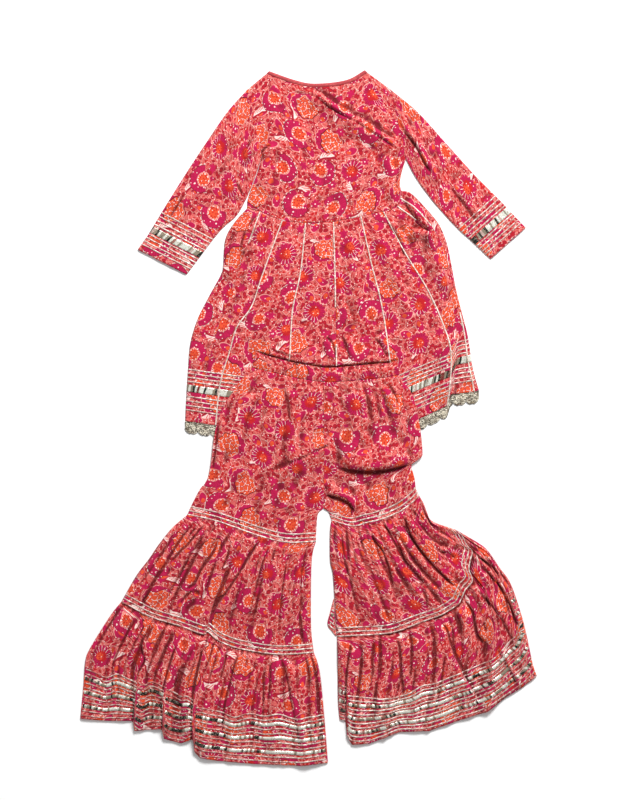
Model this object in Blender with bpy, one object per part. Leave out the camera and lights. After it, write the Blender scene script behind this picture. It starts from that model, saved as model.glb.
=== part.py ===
"""A girl's kurta and sharara, laid flat on a surface and seen from above.

The set lies in the XY plane with its underside on z = 0 and the neck towards +Y.
Left and right are those of somebody who looks down at it. Sizes below are in millimetres.
"""

import bmesh
import bpy
import numpy as np

MM = 0.001

# Walls and layers
CLOTH = 1.6
GAP = 0.3
RIBBON = 1.0
FRONT_LAYER = CLOTH + GAP
TUBE_HEIGHT = 4.2
TUBE_EDGE = 1.2
SHARARA_LIFT = FRONT_LAYER + CLOTH + GAP + RIBBON + GAP

# Trims of the kurta
WIDE_GOTA = 14.0
HEM_GOTA_HEIGHT = 66.5
CUFF_GOTA_HEIGHT = 49.0
LACE_REACH = 9.8
LACE_SHALLOW = 19.0
LACE_DEEP = 26.0
LACE_HOLE_TOP = 9.0
LACE_HOLE_FOOT = 15.0
SCALLOPS = 23

# How finely each piece is divided
PANEL_COLUMNS = 3
PUFF_ROW = 8
RIBBON_ROW = 11
SHOULDER_COLUMNS = 4
ARMHOLE_ROWS = 5
SIDE_ROWS = 4
SLEEVE_COLUMNS = 12
YOKE_COLUMNS = 16
TIER_COLUMNS = 2 * YOKE_COLUMNS
YOKE_ROWS = 12

# Kurta, bodice
NECK_EDGE = [(-79, 694), (-27, 676), (13, 669), (75, 676), (113, 696)]
NECK_SEAM = [(-84, 689), (-29, 669), (13, 662), (77, 669), (118, 691)]
LEFT_SHOULDER_TIP = (-125, 655)
RIGHT_SHOULDER_TIP = (165, 657)
LEFT_ARMPIT = (-93, 526)
RIGHT_ARMPIT = (195, 518)
LEFT_SIDE_SEAM = [LEFT_ARMPIT, (-103, 490), (-116, 456), (-122, 436), (-123, 420)]
RIGHT_SIDE_SEAM = [RIGHT_ARMPIT, (189, 500), (185, 484), (183, 468), (186, 455)]

# Kurta, sleeves: the edge further from the body, then the edge nearer to it
LEFT_SLEEVE_OUTER = [(-163, 612), (-207, 548), (-249, 484), (-289, 420), (-318, 372), (-342, 337)]
LEFT_SLEEVE_INNER = [(-104, 490), (-117, 456), (-127, 434), (-145, 404), (-179, 372), (-244, 287)]
RIGHT_SLEEVE_OUTER = [(219, 612), (277, 548), (335, 484), (383, 436), (413, 404), (435, 381)]
RIGHT_SLEEVE_INNER = [(213, 484), (235, 452), (261, 420), (297, 381), (332, 349), (364, 318)]

# Kurta, skirt: both edges and the eight seams between its nine front panels, each from waist to hem
SKIRT_SEAMS = [
    [(-123, 420), (-151, 388), (-167, 356), (-171, 308), (-175, 288), (-199, 244), (-223, 196),
     (-237, 148), (-241, 100), (-245, 36), (-247, -6)],
    [(-97, 413), (-114, 366), (-135, 310), (-155, 250), (-178, 190), (-198, 120), (-212, 60), (-222, -10)],
    [(-53, 394), (-93, 284), (-114, 223), (-143, 182), (-159, 129), (-177, 68), (-186, -15)],
    [(-6, 390), (-16, 292), (-32, 215), (-38, 121), (-50, 40), (-60, -32)],
    [(50, 392), (53, 286), (54, 215), (56, 112), (57, 40), (58, -38)],
    [(105, 403), (123, 321), (147, 223), (162, 121), (170, 50), (175, -24)],
    [(150, 413), (192, 333), (241, 252), (276, 170), (285, 121), (282, 60), (277, 24)],
    [(178, 424), (230, 382), (258, 330), (283, 250), (295, 180), (297, 121), (290, 70), (284, 47)],
    [(184, 440), (212, 420), (245, 383), (270, 341), (294, 247), (311, 174), (318, 121), (332, 52)],
    [(186, 455), (205, 450), (235, 420), (261, 388), (275, 356), (283, 324), (295, 260), (307, 212),
     (319, 164), (329, 100), (341, 56)],
]

# Where the kurta puffs out above the sharara's waistband and falls behind it
PUFF_LINE = [(-105, 134), (-76, 125), (-54, 119), (-26, 112), (-2, 108), (29, 103), (52, 103),
             (85, 106), (111, 108), (140, 111), (160, 112), (179, 117)]
PUFF_HEIGHT = 9.0
PUFF_FALL = 9.0
PUFF_REACH = 45.0
COVER_MARGIN = 15.0

# Sharara
WAIST_SEAM = [(-113, 101), (-54, 87), (-2, 76), (29, 72), (52, 72), (85, 74), (140, 79), (182, 86)]
WAISTBAND_CLEAR = 10.5
CENTRE_SEAM = [(31, 72), (31, -30), (31, -110), (30, -181)]
YOKE_LEFT_EDGE = [(-113, 101), (-119, 89), (-134, 78), (-154, 49), (-170, 26), (-180, 3), (-189, -36),
                  (-191, -50), (-195, -87), (-203, -124), (-217, -142), (-233, -172), (-243, -194)]
YOKE_RIGHT_EDGE = [(182, 86), (187, 73), (203, 56), (214, 26), (221, -6), (225, -32), (228, -64),
                   (226, -78), (206, -93), (209, -108), (213, -124), (215, -140), (222, -156)]
LEFT_INSEAM = [(30, -181), (19, -192), (16, -220), (15, -248)]
RIGHT_INSEAM = [(30, -181), (40, -188), (46, -205)]
LEFT_YOKE_SEAM = [(-243, -194), (-192, -205), (-144, -221), (-92, -239), (-41, -250), (15, -248)]
RIGHT_YOKE_SEAM = [(46, -205), (87, -217), (116, -211), (141, -205), (164, -197), (187, -186),
                   (207, -171), (222, -156)]
LEFT_TIER_SEAM = [(-375, -368), (-318, -398), (-270, -413), (-211, -433), (-203, -428), (-181, -446),
                  (-151, -459), (-107, -468), (-52, -474), (11, -470)]
RIGHT_TIER_SEAM = [(57, -438), (146, -433), (182, -426), (224, -410), (267, -394), (299, -374),
                   (306, -363), (315, -344), (329, -326), (322, -303), (326, -281), (329, -267),
                   (319, -256), (308, -235), (296, -224)]
LEFT_HEM = [(-457, -602), (-404, -606), (-351, -606), (-348, -626), (-293, -622), (-289, -642),
            (-255, -651), (-231, -642), (-228, -668), (-217, -680), (-181, -686), (-113, -692),
            (-15, -696), (39, -690)]
RIGHT_HEM = [(62, -603), (74, -606), (77, -636), (87, -654), (121, -652), (181, -629), (242, -626),
             (305, -604), (357, -588), (399, -556), (427, -540), (457, -516)]
LEFT_MIDDLE_EDGE = [(-243, -194), (-273, -220), (-299, -252), (-321, -284), (-345, -316), (-375, -368)]
LEFT_MIDDLE_INNER = [(15, -248), (9, -268), (6, -300), (5, -380), (6, -430), (11, -470)]
RIGHT_MIDDLE_EDGE = [(222, -156), (231, -172), (237, -188), (247, -206), (281, -219), (296, -224)]
RIGHT_MIDDLE_INNER = [(46, -205), (43, -224), (43, -284), (49, -316), (54, -400), (57, -438)]
LEFT_HEM_EDGE = [(-375, -368), (-397, -396), (-437, -460), (-447, -488), (-451, -540), (-457, -602)]
LEFT_HEM_INNER = [(11, -470), (19, -492), (25, -524), (31, -588), (35, -636), (39, -690)]
RIGHT_HEM_EDGE = [(296, -224), (343, -252), (361, -268), (383, -300), (405, -332), (427, -396),
                  (438, -440), (449, -492), (457, -516)]
RIGHT_HEM_INNER = [(57, -438), (58, -500), (59, -564), (62, -603)]
CORNER_OUTER = [(50, -362), (44, -385), (38, -412), (46, -426), (54, -436)]
CORNER_INNER = [(51, -362), (52.3, -385), (54, -412), (55, -426), (56, -436)]

# Folds of the kurta: path of the crest, height, spread on the path's left, spread on its right
KURTA_FOLDS = [
    ([(-23, 654), (21, 644), (43, 627), (85, 596), (126, 575), (167, 549), (194, 524)], 8, 7, 20),
    ([(-70, 560), (-78, 500), (-92, 440)], 4, 10, 14),
    ([(150, 530), (168, 490), (166, 440)], 5, 9, 12),
    ([(-20, 610), (-30, 530), (-20, 450)], 3, 22, 26),
    ([(70, 560), (62, 500), (66, 430)], 3, 20, 24),
    ([(-108, 402), (-138, 370), (-150, 320), (-160, 270)], 7, 12, 10),
    ([(-75, 380), (-112, 290), (-138, 210), (-166, 150), (-190, 60)], 5, 14, 12),
    ([(-28, 375), (-50, 290), (-72, 210), (-90, 140)], 6, 12, 16),
    ([(22, 376), (20, 300), (10, 220), (8, 150)], 4, 14, 16),
    ([(60, 300), (66, 230), (86, 180)], 5, 8, 16),
    ([(80, 385), (92, 300), (104, 220), (112, 150)], 5, 14, 12),
    ([(128, 392), (160, 320), (188, 250), (212, 180)], 6, 12, 14),
    ([(196, 440), (228, 402), (250, 360), (262, 300), (278, 240)], 9, 12, 16),
    ([(190, 380), (226, 368), (252, 366)], 5, 8, 10),
    ([(290, 180), (289, 120), (284, 60), (279, 20)], 8, 6, 26),
    ([(312, 150), (322, 100), (330, 60)], 3, 8, 8),
    ([(-215, 170), (-220, 90), (-224, 10)], 4, 9, 12),
]

# Folds of the sleeves, as above
SLEEVE_FOLDS = [
    ([(175, 623), (189, 584), (214, 556), (247, 497), (262, 462)], 6, 10, 18),
    ([(300, 490), (330, 440), (350, 400)], 3, 16, 18),
    ([(-140, 610), (-180, 545), (-222, 470), (-262, 400)], 5, 16, 20),
    ([(-120, 560), (-150, 500), (-165, 440)], 4, 12, 14),
]

# Folds of the sharara's upper part, as above
YOKE_FOLDS = [
    ([(54, -84), (95, -90), (125, -95), (150, -93), (177, -87), (212, -76)], 12, 34, 9),
    ([(54, -42), (22, -60), (3, -70), (-15, -78), (-44, -92)], 7, 9, 24),
    ([(31, -144), (61, -150), (90, -158)], 4, 12, 7),
    ([(-110, 60), (-140, 0), (-160, -70)], 6, 14, 16),
    ([(-60, 66), (-72, 0), (-82, -60)], 4, 12, 16),
    ([(95, 60), (104, 10), (100, -50)], 5, 12, 14),
    ([(160, 56), (182, 10), (190, -50)], 6, 12, 12),
    ([(-150, -80), (-172, -140), (-196, -190)], 5, 12, 16),
    ([(-70, -110), (-82, -170), (-96, -225)], 5, 12, 14),
    ([(-5, -110), (-16, -170), (-20, -235)], 4, 10, 14),
    ([(100, -125), (104, -165), (112, -200)], 4, 10, 10),
    ([(165, -112), (178, -140), (192, -172)], 5, 9, 10),
]

# Pleats of a tier: place at its top and at its foot as shares of the width, where they start and end
# as shares of its depth, height, half width as a share of the width
LEFT_MIDDLE_PLEATS = [
    (0.08, 0.06, 0.0, 1.0, 4, 0.030), (0.19, 0.15, 0.0, 0.9, 6, 0.026), (0.29, 0.27, 0.1, 1.0, 5, 0.030),
    (0.41, 0.42, 0.0, 1.0, 9, 0.030), (0.50, 0.52, 0.0, 0.8, 5, 0.024), (0.61, 0.62, 0.1, 1.0, 6, 0.032),
    (0.74, 0.75, 0.0, 1.0, 5, 0.028), (0.87, 0.88, 0.0, 0.9, 5, 0.030),
]
RIGHT_MIDDLE_PLEATS = [
    (0.10, 0.07, 0.0, 1.0, 5, 0.034), (0.24, 0.18, 0.0, 0.9, 5, 0.030), (0.38, 0.31, 0.1, 1.0, 7, 0.032),
    (0.51, 0.45, 0.0, 1.0, 5, 0.028), (0.63, 0.60, 0.0, 1.0, 8, 0.030), (0.76, 0.74, 0.1, 1.0, 6, 0.030),
    (0.89, 0.90, 0.0, 0.9, 5, 0.030),
]
LEFT_HEM_PLEATS = [
    (0.07, 0.06, 0.1, 1.0, 5, 0.030), (0.16, 0.17, 0.0, 1.0, 4, 0.024), (0.23, 0.225, 0.0, 1.0, 9, 0.024),
    (0.33, 0.345, 0.0, 1.0, 9, 0.026), (0.42, 0.445, 0.0, 1.0, 11, 0.026), (0.55, 0.56, 0.1, 1.0, 6, 0.030),
    (0.68, 0.68, 0.0, 1.0, 5, 0.028), (0.80, 0.81, 0.0, 1.0, 7, 0.028), (0.91, 0.92, 0.1, 1.0, 4, 0.028),
]
RIGHT_HEM_PLEATS = [
    (0.05, 0.06, 0.1, 1.0, 6, 0.028), (0.15, 0.17, 0.0, 1.0, 7, 0.028), (0.27, 0.29, 0.0, 1.0, 5, 0.028),
    (0.38, 0.41, 0.0, 1.0, 8, 0.028), (0.49, 0.53, 0.0, 1.0, 5, 0.026), (0.60, 0.64, 0.0, 1.0, 7, 0.028),
    (0.71, 0.75, 0.0, 1.0, 9, 0.028), (0.82, 0.85, 0.0, 1.0, 7, 0.028), (0.92, 0.94, 0.1, 0.9, 4, 0.028),
]

# Colour, roughness and metallic value
FINISHES = {
    "printed_cotton": ((0.58, 0.11, 0.12, 1), 0.85, 0.0),
    "plain_binding": ((0.52, 0.09, 0.10, 1), 0.8, 0.0),
    "silver_gota": ((0.72, 0.68, 0.60, 1), 0.28, 0.9),
    "metallic_lace": ((0.66, 0.60, 0.50, 1), 0.45, 0.6),
}


def soft(t):
    """A step from 0 to 1 that starts and ends gently."""
    t = np.clip(t, 0, 1)
    return t * t * (3 - 2 * t)


def smooth(points, steps=10):
    """A curve through the points, as a fine run of points."""
    fixed = np.array(points, float)
    knots = np.vstack([2 * fixed[0] - fixed[1], fixed, 2 * fixed[-1] - fixed[-2]])
    t = np.linspace(0, 1, steps, endpoint=False)[:, None]
    runs = []
    for a, b, c, d in zip(knots, knots[1:], knots[2:], knots[3:]):
        bend = 2 * a - 5 * b + 4 * c - d
        twist = 3 * b - a - 3 * c + d
        runs.append(b + 0.5 * (t * (c - a) + t**2 * bend + t**3 * twist))
    return np.vstack(runs + [fixed[-1:]])


def lengths(line):
    """How far along a line each of its points lies."""
    steps = np.linalg.norm(np.diff(line, axis=0), axis=1)
    return np.concatenate([[0], np.cumsum(steps)])


def points_at(line, distances):
    run = lengths(line)
    return np.stack([np.interp(distances, run, line[:, axis]) for axis in range(2)], axis=1)


def divided(line, spans):
    line = np.array(line, float)
    return points_at(line, np.linspace(0, lengths(line)[-1], spans + 1))


def moved_aside(line, distance):
    """A line moved to its own left by a distance, or to its right by a negative one."""
    way = np.gradient(line, axis=0)
    way = way / np.linalg.norm(way, axis=1, keepdims=True)
    return line + distance * np.column_stack([-way[:, 1], way[:, 0]])


def doubled(line):
    """The same line with a point halfway along each of its spans."""
    finer = np.repeat(line, 2, axis=0)[:-1]
    finer[1::2] = (line[:-1] + line[1:]) / 2
    return finer


def patch(top, bottom, left, right):
    """A sheet of plan points between four edges; left and right run from top to bottom."""
    top_share = lengths(top) / lengths(top)[-1]
    bottom_share = lengths(bottom) / lengths(bottom)[-1]
    left_share = lengths(left) / lengths(left)[-1]
    right_share = lengths(right) / lengths(right)[-1]
    u = ((top_share + bottom_share) / 2)[None, :, None]
    v = ((left_share + right_share) / 2)[:, None, None]
    across = (1 - u) * left[:, None] + u * right[:, None]
    down = (1 - v) * top[None] + v * bottom[None]
    corners = (1 - v) * ((1 - u) * top[0] + u * top[-1]) + v * ((1 - u) * bottom[0] + u * bottom[-1])
    return across + down - corners


def ridges(plan, folds):
    """Height of a set of folds: each is a soft ridge along its own path, faded at both ends."""
    x, y = plan[..., 0], plan[..., 1]
    height = np.zeros(x.shape)
    for path, crest, spread_left, spread_right in folds:
        line = np.array(path, float)
        run = lengths(line)
        nearest = np.full(x.shape, np.inf)
        side = np.zeros(x.shape)
        along = np.zeros(x.shape)
        for (ax, ay), (bx, by), start in zip(line, line[1:], run):
            dx, dy = bx - ax, by - ay
            span = np.hypot(dx, dy)
            t = np.clip(((x - ax) * dx + (y - ay) * dy) / span**2, 0, 1)
            distance = np.hypot(x - ax - t * dx, y - ay - t * dy)
            closer = distance < nearest
            nearest = np.where(closer, distance, nearest)
            side = np.where(closer, dx * (y - ay) - dy * (x - ax), side)
            along = np.where(closer, (start + t * span) / run[-1], along)
        spread = np.where(side > 0, spread_left, spread_right)
        fade = soft(along / 0.2) * soft((1 - along) / 0.2)
        height = height + crest * fade * np.exp(-((nearest / spread) ** 2))
    return height


def shares(plan):
    """Each point's place across and down its sheet, from 0 to 1."""
    rows, columns = plan.shape[:2]
    return np.meshgrid(np.linspace(0, 1, columns), np.linspace(0, 1, rows))


def pleats(plan, table):
    u, v = shares(plan)
    height = np.zeros(u.shape)
    for at_top, at_foot, start, end, crest, half_width in table:
        middle = at_top + (at_foot - at_top) * v
        fade = soft((v - start + 0.15) / 0.3) * soft((end - v + 0.1) / 0.3)
        height = height + crest * fade * np.exp(-(((u - middle) / half_width) ** 2))
    return height


def gathers(plan, count, crest, reach, seed):
    """Small uneven gathers, which start at the seam above and die out over the share called reach."""
    u, v = shares(plan)
    draw = np.random.default_rng(seed)
    height = np.zeros(u.shape)
    for number in range(count):
        middle = (number + 0.5 + draw.uniform(-0.2, 0.2)) / count
        own_crest = crest * draw.uniform(0.5, 1)
        own_reach = reach * draw.uniform(0.5, 1)
        height = height + own_crest * np.exp(-(((u - middle) * count * 2) ** 2) - (v / own_reach) ** 2)
    return height


def faded_sides(plan, share=0.06, left=True, right=True):
    """1 inside a sheet, falling to 0 at the edges where its front meets its back."""
    u, _ = shares(plan)
    fade = np.ones(u.shape)
    if left:
        fade = fade * soft(u / share)
    if right:
        fade = fade * soft((1 - u) / share)
    return fade


def puff_line(x):
    line = np.array(PUFF_LINE, float)
    return np.interp(x, line[:, 0], line[:, 1])


def uncovered(plan):
    """1 where the kurta's front is free to rise, 0 where the sharara lies on it."""
    x, y = plan[..., 0], plan[..., 1]
    left = np.array([PUFF_LINE[0]] + YOKE_LEFT_EDGE[:10], float)[::-1]
    right = np.array([PUFF_LINE[-1]] + YOKE_RIGHT_EDGE[:7], float)[::-1]
    outside = np.maximum(np.interp(y, left[:, 1], left[:, 0]) - x, x - np.interp(y, right[:, 1], right[:, 0]))
    above = np.clip(1 - (puff_line(x) - y) / PUFF_FALL, 0, 1)
    return np.maximum(above, soft((outside - COVER_MARGIN) / 20))


def kurta_rise(plan):
    """How far the kurta's front stands above its lowest place."""
    x, y = plan[..., 0], plan[..., 1]
    above = np.maximum(y - puff_line(x), 0) / PUFF_REACH
    ends = soft((x - PUFF_LINE[0][0]) / 40) * soft((PUFF_LINE[-1][0] - x) / 40)
    puff = PUFF_HEIGHT * ends * np.exp(-(above**2))
    return (ridges(plan, KURTA_FOLDS) + puff) * uncovered(plan)


def sharara_base(plan):
    """The sharara lies on the kurta, and comes down to the surface below the kurta's hem."""
    return SHARARA_LIFT * soft((plan[..., 1] + 150) / 80)


def raised(plan, z):
    """Plan points with their heights."""
    return np.concatenate([plan, np.broadcast_to(z, plan.shape[:2])[..., None]], axis=2)


def make_finish(name):
    colour, roughness, metallic = FINISHES[name]
    finish = bpy.data.materials.new(name)
    finish.use_nodes = True
    shader = finish.node_tree.nodes["Principled BSDF"]
    shader.inputs["Base Color"].default_value = colour
    shader.inputs["Roughness"].default_value = roughness
    shader.inputs["Metallic"].default_value = metallic
    return finish


def wall(name, upper, lower, finish, ring=False, holes=()):
    """One closed body between two sheets of points that share their rows and columns."""
    rows, columns = upper.shape[:2]
    grid = np.arange(rows * columns).reshape(rows, columns)
    if ring:
        grid = np.hstack([grid, grid[:, :1]])
    form = bmesh.new()
    number = form.verts.layers.int.new("number")
    for count, point in enumerate(upper.reshape(-1, 3)):
        form.verts.new(point * MM)[number] = count
    form.verts.ensure_lookup_table()
    for row in range(rows - 1):
        for column in range(grid.shape[1] - 1):
            if (row, column) in holes:
                continue
            a, b = grid[row, column], grid[row, column + 1]
            c, d = grid[row + 1, column + 1], grid[row + 1, column]
            form.faces.new([form.verts[index] for index in (a, b, c)])
            form.faces.new([form.verts[index] for index in (a, c, d)])
    far_points = lower.reshape(-1, 3)
    grown = bmesh.ops.extrude_face_region(form, geom=form.faces[:], use_keep_orig=True)
    for item in grown["geom"]:
        if isinstance(item, bmesh.types.BMVert):
            item.co = far_points[item[number]] * MM
    bmesh.ops.recalc_face_normals(form, faces=form.faces[:])
    if form.calc_volume(signed=True) < 0:
        bmesh.ops.reverse_faces(form, faces=form.faces[:])
    mesh = bpy.data.meshes.new(name)
    form.to_mesh(mesh)
    form.free()
    mesh.shade_smooth()
    mesh.set_sharp_from_angle(angle=0.9)
    mesh.materials.append(make_finish(finish))
    piece = bpy.data.objects.new(name, mesh)
    bpy.data.collections["Kurta set"].objects.link(piece)
    return piece


def panel(name, plan, z, finish="printed_cotton", thick=CLOTH, holes=()):
    """A single layer of cloth whose underside lies at z."""
    return wall(name, raised(plan, z + thick), raised(plan, z), finish, holes=holes)


def tube(name, plan, rise, base=0.0, finish="printed_cotton", under=4):
    """A flattened tube: its lower half lies flat at base, its upper half carries the folds."""
    first = plan[:, 1] - plan[:, 0]
    last = plan[:, -2] - plan[:, -1]
    first = first / np.linalg.norm(first, axis=1, keepdims=True)
    last = last / np.linalg.norm(last, axis=1, keepdims=True)
    flat_columns = range(plan.shape[1] - 1 - under, 0, -under)

    def ring(side, turn, inset):
        """Points round the wall; side is how far in the edges lie, turn where the flat parts start."""
        low = base + inset
        high = base + TUBE_HEIGHT - inset
        middle = base + TUBE_HEIGHT / 2
        columns = [
            (plan[:, 0] + side * first, middle),
            (plan[:, 0] + turn * first, high),
            *[(plan[:, column], high + rise[:, column]) for column in range(1, plan.shape[1] - 1)],
            (plan[:, -1] + turn * last, high),
            (plan[:, -1] + side * last, middle),
            (plan[:, -1] + turn * last, low),
            *[(plan[:, column], low) for column in flat_columns],
            (plan[:, 0] + turn * first, low),
        ]
        sheets = [np.column_stack([xy, np.broadcast_to(z, len(xy))]) for xy, z in columns]
        return np.stack(sheets, axis=1)

    outer = ring(0.0, TUBE_EDGE, 0.0)
    inner = ring(CLOTH, CLOTH + TUBE_EDGE / 2, CLOTH)
    return wall(name, outer, inner, finish, ring=True)


def skirt_rows(seam):
    """Points down a seam: at the puff line, where the puff has fallen, and beside the wide gota."""
    line = smooth(seam)
    run = lengths(line)
    below_line = puff_line(line[:, 0]) - line[:, 1]
    ribbon_top = run[-1] - HEM_GOTA_HEIGHT - WIDE_GOTA / 2
    ribbon_foot = run[-1] - HEM_GOTA_HEIGHT + WIDE_GOTA / 2
    crossing = min(np.interp(0, below_line, run), ribbon_top - 3 * PUFF_FALL)
    upper = np.linspace(0, crossing, PUFF_ROW + 1)
    lower = np.linspace(crossing + PUFF_FALL, ribbon_top, RIBBON_ROW - PUFF_ROW)
    return points_at(line, np.concatenate([upper, lower, [ribbon_foot, (ribbon_foot + run[-1]) / 2, run[-1]]]))


def skirt_plan():
    """The whole front skirt as one sheet; each panel takes its own columns of it."""
    seams = [skirt_rows(seam) for seam in SKIRT_SEAMS]
    sheets = []
    for left, right in zip(seams, seams[1:]):
        for step in range(PANEL_COLUMNS):
            sheets.append(left + (right - left) * step / PANEL_COLUMNS)
    sheets.append(seams[-1])
    plan = np.stack(sheets, axis=1)
    crest, foot = plan[PUFF_ROW], plan[PUFF_ROW + 1]
    crossing = np.abs(crest[:, 1] - puff_line(crest[:, 0])) < PUFF_FALL
    crest[crossing, 1] = puff_line(crest[crossing, 0])
    foot[crossing, 1] = puff_line(foot[crossing, 0]) - PUFF_FALL
    return plan


def shifted(plan, dx=0.0, dy=0.0):
    return plan + np.array([dx, dy])


def skirt_panels(plan, rise):
    for number in range(len(SKIRT_SEAMS) - 1):
        columns = slice(number * PANEL_COLUMNS, (number + 1) * PANEL_COLUMNS + 1)
        part = plan[:, columns].copy()
        if number > 0:
            part[:, 0] = moved_aside(part[:, 0], GAP / 2)
        if number < len(SKIRT_SEAMS) - 2:
            part[:, -1] = moved_aside(part[:, -1], -GAP / 2)
        panel(f"skirt_panel_{number + 1}", part, FRONT_LAYER + rise[:, columns])


def hem_gota(plan, rise):
    rows = slice(RIBBON_ROW, RIBBON_ROW + 2)
    height = FRONT_LAYER + CLOTH + GAP + rise[rows]
    panel("hem_gota", plan[rows], height, "silver_gota", thick=RIBBON)


def lace(name, hem, z, pierced):
    """A scalloped edging that hangs from the hem; its larger openings are cut through."""
    starts = np.linspace(hem[0, 0], hem[-1, 0], SCALLOPS + 1)
    width = starts[1] - starts[0]
    inner = [0.0, 0.38, 0.62]
    x = np.concatenate([start + width * np.array(inner) for start in starts[:-1]] + [starts[-1:]])
    depth = np.array(([LACE_SHALLOW, LACE_DEEP, LACE_DEEP] * SCALLOPS) + [LACE_SHALLOW])
    nearby = [np.interp(x + reach, hem[:, 0], hem[:, 1]) for reach in (-LACE_REACH, 0, LACE_REACH)]
    edge = np.min(nearby, axis=0) - GAP
    rows = [np.zeros(len(x)), np.full(len(x), LACE_HOLE_TOP), np.full(len(x), LACE_HOLE_FOOT), depth]
    if not pierced:
        rows = [rows[0], rows[-1]]
    plan = np.stack([np.column_stack([x, edge - drop]) for drop in rows])
    holes = [(1, 3 * scallop + 1) for scallop in range(SCALLOPS)] if pierced else []
    panel(name, plan, z, "metallic_lace", holes=holes)


def bodice(plan_top_of_skirt):
    """Front, back and neck binding, which share the skirt's columns at the waist."""
    waist = moved_aside(plan_top_of_skirt, GAP)
    neck_spans = len(waist) - 1 - 2 * SHOULDER_COLUMNS
    neck = divided(smooth(NECK_SEAM), neck_spans)
    left_shoulder = divided([LEFT_SHOULDER_TIP, NECK_SEAM[0]], SHOULDER_COLUMNS)
    right_shoulder = divided([NECK_SEAM[-1], RIGHT_SHOULDER_TIP], SHOULDER_COLUMNS)
    top = np.vstack([left_shoulder, neck[1:-1], right_shoulder])
    left = bodice_side(LEFT_SHOULDER_TIP, LEFT_SIDE_SEAM, waist[0])
    right = bodice_side(RIGHT_SHOULDER_TIP, RIGHT_SIDE_SEAM, waist[-1])
    plan = patch(top, waist, left, right)
    rise = kurta_rise(plan) * faded_sides(plan) * soft(shares(plan)[1] / 0.15)
    panel("bodice_front", plan, FRONT_LAYER + rise)
    back_rows = [0, *range(ARMHOLE_ROWS, ARMHOLE_ROWS + SIDE_ROWS + 1)]
    panel("bodice_back", plan[back_rows], 0.0)

    edge = divided(smooth(NECK_EDGE), neck_spans)
    inward = neck - edge
    inward = inward / np.linalg.norm(inward, axis=1, keepdims=True)
    binding = np.stack([edge, neck - GAP * inward])
    tube("neck_binding", binding, np.zeros(binding.shape[:2]), finish="plain_binding", under=1)


def bodice_side(tip, side_seam, waist_end):
    """Shoulder tip to armpit in a straight armhole, then down the side seam."""
    armhole = divided([tip, side_seam[0]], ARMHOLE_ROWS)
    side = divided(smooth(side_seam[:-1] + [tuple(waist_end)]), SIDE_ROWS)
    return np.vstack([armhole, side[1:]])


def sleeve(name, tip, armpit, outer, inner, clear):
    """A flattened tube from the armhole to the cuff; clear is the gap to the bodice, with its sign."""
    shoulder = np.array(tip) + [clear, 0]
    pit = np.array(armpit) + [clear, 0]
    far = smooth([tuple(shoulder)] + outer)
    near = smooth([tuple(pit)] + inner)
    edges = []
    for line in (far, near):
        end = lengths(line)[-1]
        ribbon_top = end - CUFF_GOTA_HEIGHT - WIDE_GOTA / 2
        ribbon_foot = ribbon_top + WIDE_GOTA
        rows = np.concatenate([np.linspace(0, ribbon_top, 8), [ribbon_foot, end]])
        edges.append(points_at(line, rows))
    if clear > 0:
        edges.reverse()
    left, right = edges
    plan = np.linspace(left, right, SLEEVE_COLUMNS + 1, axis=1)
    rise = ridges(plan, SLEEVE_FOLDS) * faded_sides(plan, share=0.15)
    tube(name, plan, rise, under=4)
    rows = slice(7, 9)
    columns = slice(1, -1)
    height = TUBE_HEIGHT + GAP + rise[rows, columns]
    panel(name.replace("sleeve", "cuff_gota"), plan[rows, columns], height, "silver_gota", thick=RIBBON)


def waistband():
    """The elastic band: its top edge lies just under the kurta's puff."""
    top = divided(smooth(shifted(np.array(PUFF_LINE), dy=-WAISTBAND_CLEAR)), 32)
    bottom = divided(smooth(WAIST_SEAM), 32)
    plan = np.linspace(top, shifted(bottom, dy=GAP), 4, axis=0)
    rise = gathers(plan, count=11, crest=2.6, reach=3.0, seed=4) * faded_sides(plan)
    tube("waistband", plan, rise, base=SHARARA_LIFT, under=4)


def yoke(side, waist, outer_edge, inseam, seam, seed):
    """Front and back of one leg's upper part, which share their rows."""
    centre = divided(smooth(CENTRE_SEAM), YOKE_ROWS - 3)
    inner = np.vstack([centre, divided(smooth(inseam), 3)[1:]])
    inner[0] = waist[0] if side == "right" else waist[-1]
    outer = divided(smooth(outer_edge), YOKE_ROWS)
    top = divided(waist, YOKE_COLUMNS)
    foot = moved_aside(divided(smooth(seam), YOKE_COLUMNS), GAP / 2)
    if side == "left":
        plan = patch(top, foot, fitted(outer, top[0], foot[0]), fitted(inner, top[-1], foot[-1]))
        plan[:, -1, 0] -= GAP
    else:
        plan = patch(top, foot, fitted(inner, top[0], foot[0]), fitted(outer, top[-1], foot[-1]))
        plan[:, 0, 0] += GAP
    rise = ridges(plan, YOKE_FOLDS) + gathers(plan, count=6, crest=4.0, reach=0.3, seed=seed)
    rise = rise * faded_sides(plan, left=side == "left", right=side == "right")
    base = sharara_base(plan)
    panel(f"yoke_front_{side}", plan, base + FRONT_LAYER + GAP + rise)
    panel(f"yoke_back_{side}", plan, base)


def fitted(line, start, end):
    """A line with its two ends moved on to given points."""
    line = line.copy()
    line[0] = start
    line[-1] = end
    return line


def tier(name, top_seam, foot, left_edge, right_edge, table, seed, kinked):
    """One gathered tier of a leg, as a flattened tube."""
    if kinked:
        top = moved_aside(divided(top_seam, TIER_COLUMNS), -GAP)
    else:
        top = doubled(moved_aside(divided(smooth(top_seam), YOKE_COLUMNS), -GAP / 2))
    bottom = divided(foot, TIER_COLUMNS)
    left = fitted(divided(smooth(left_edge), 5), top[0], bottom[0])
    right = fitted(divided(smooth(right_edge), 5), top[-1], bottom[-1])
    plan = patch(top, bottom, left, right)
    rise = pleats(plan, table) + gathers(plan, count=12, crest=4.0, reach=0.45, seed=seed)
    tube(name, plan, rise * faded_sides(plan, share=0.05), under=2)


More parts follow.
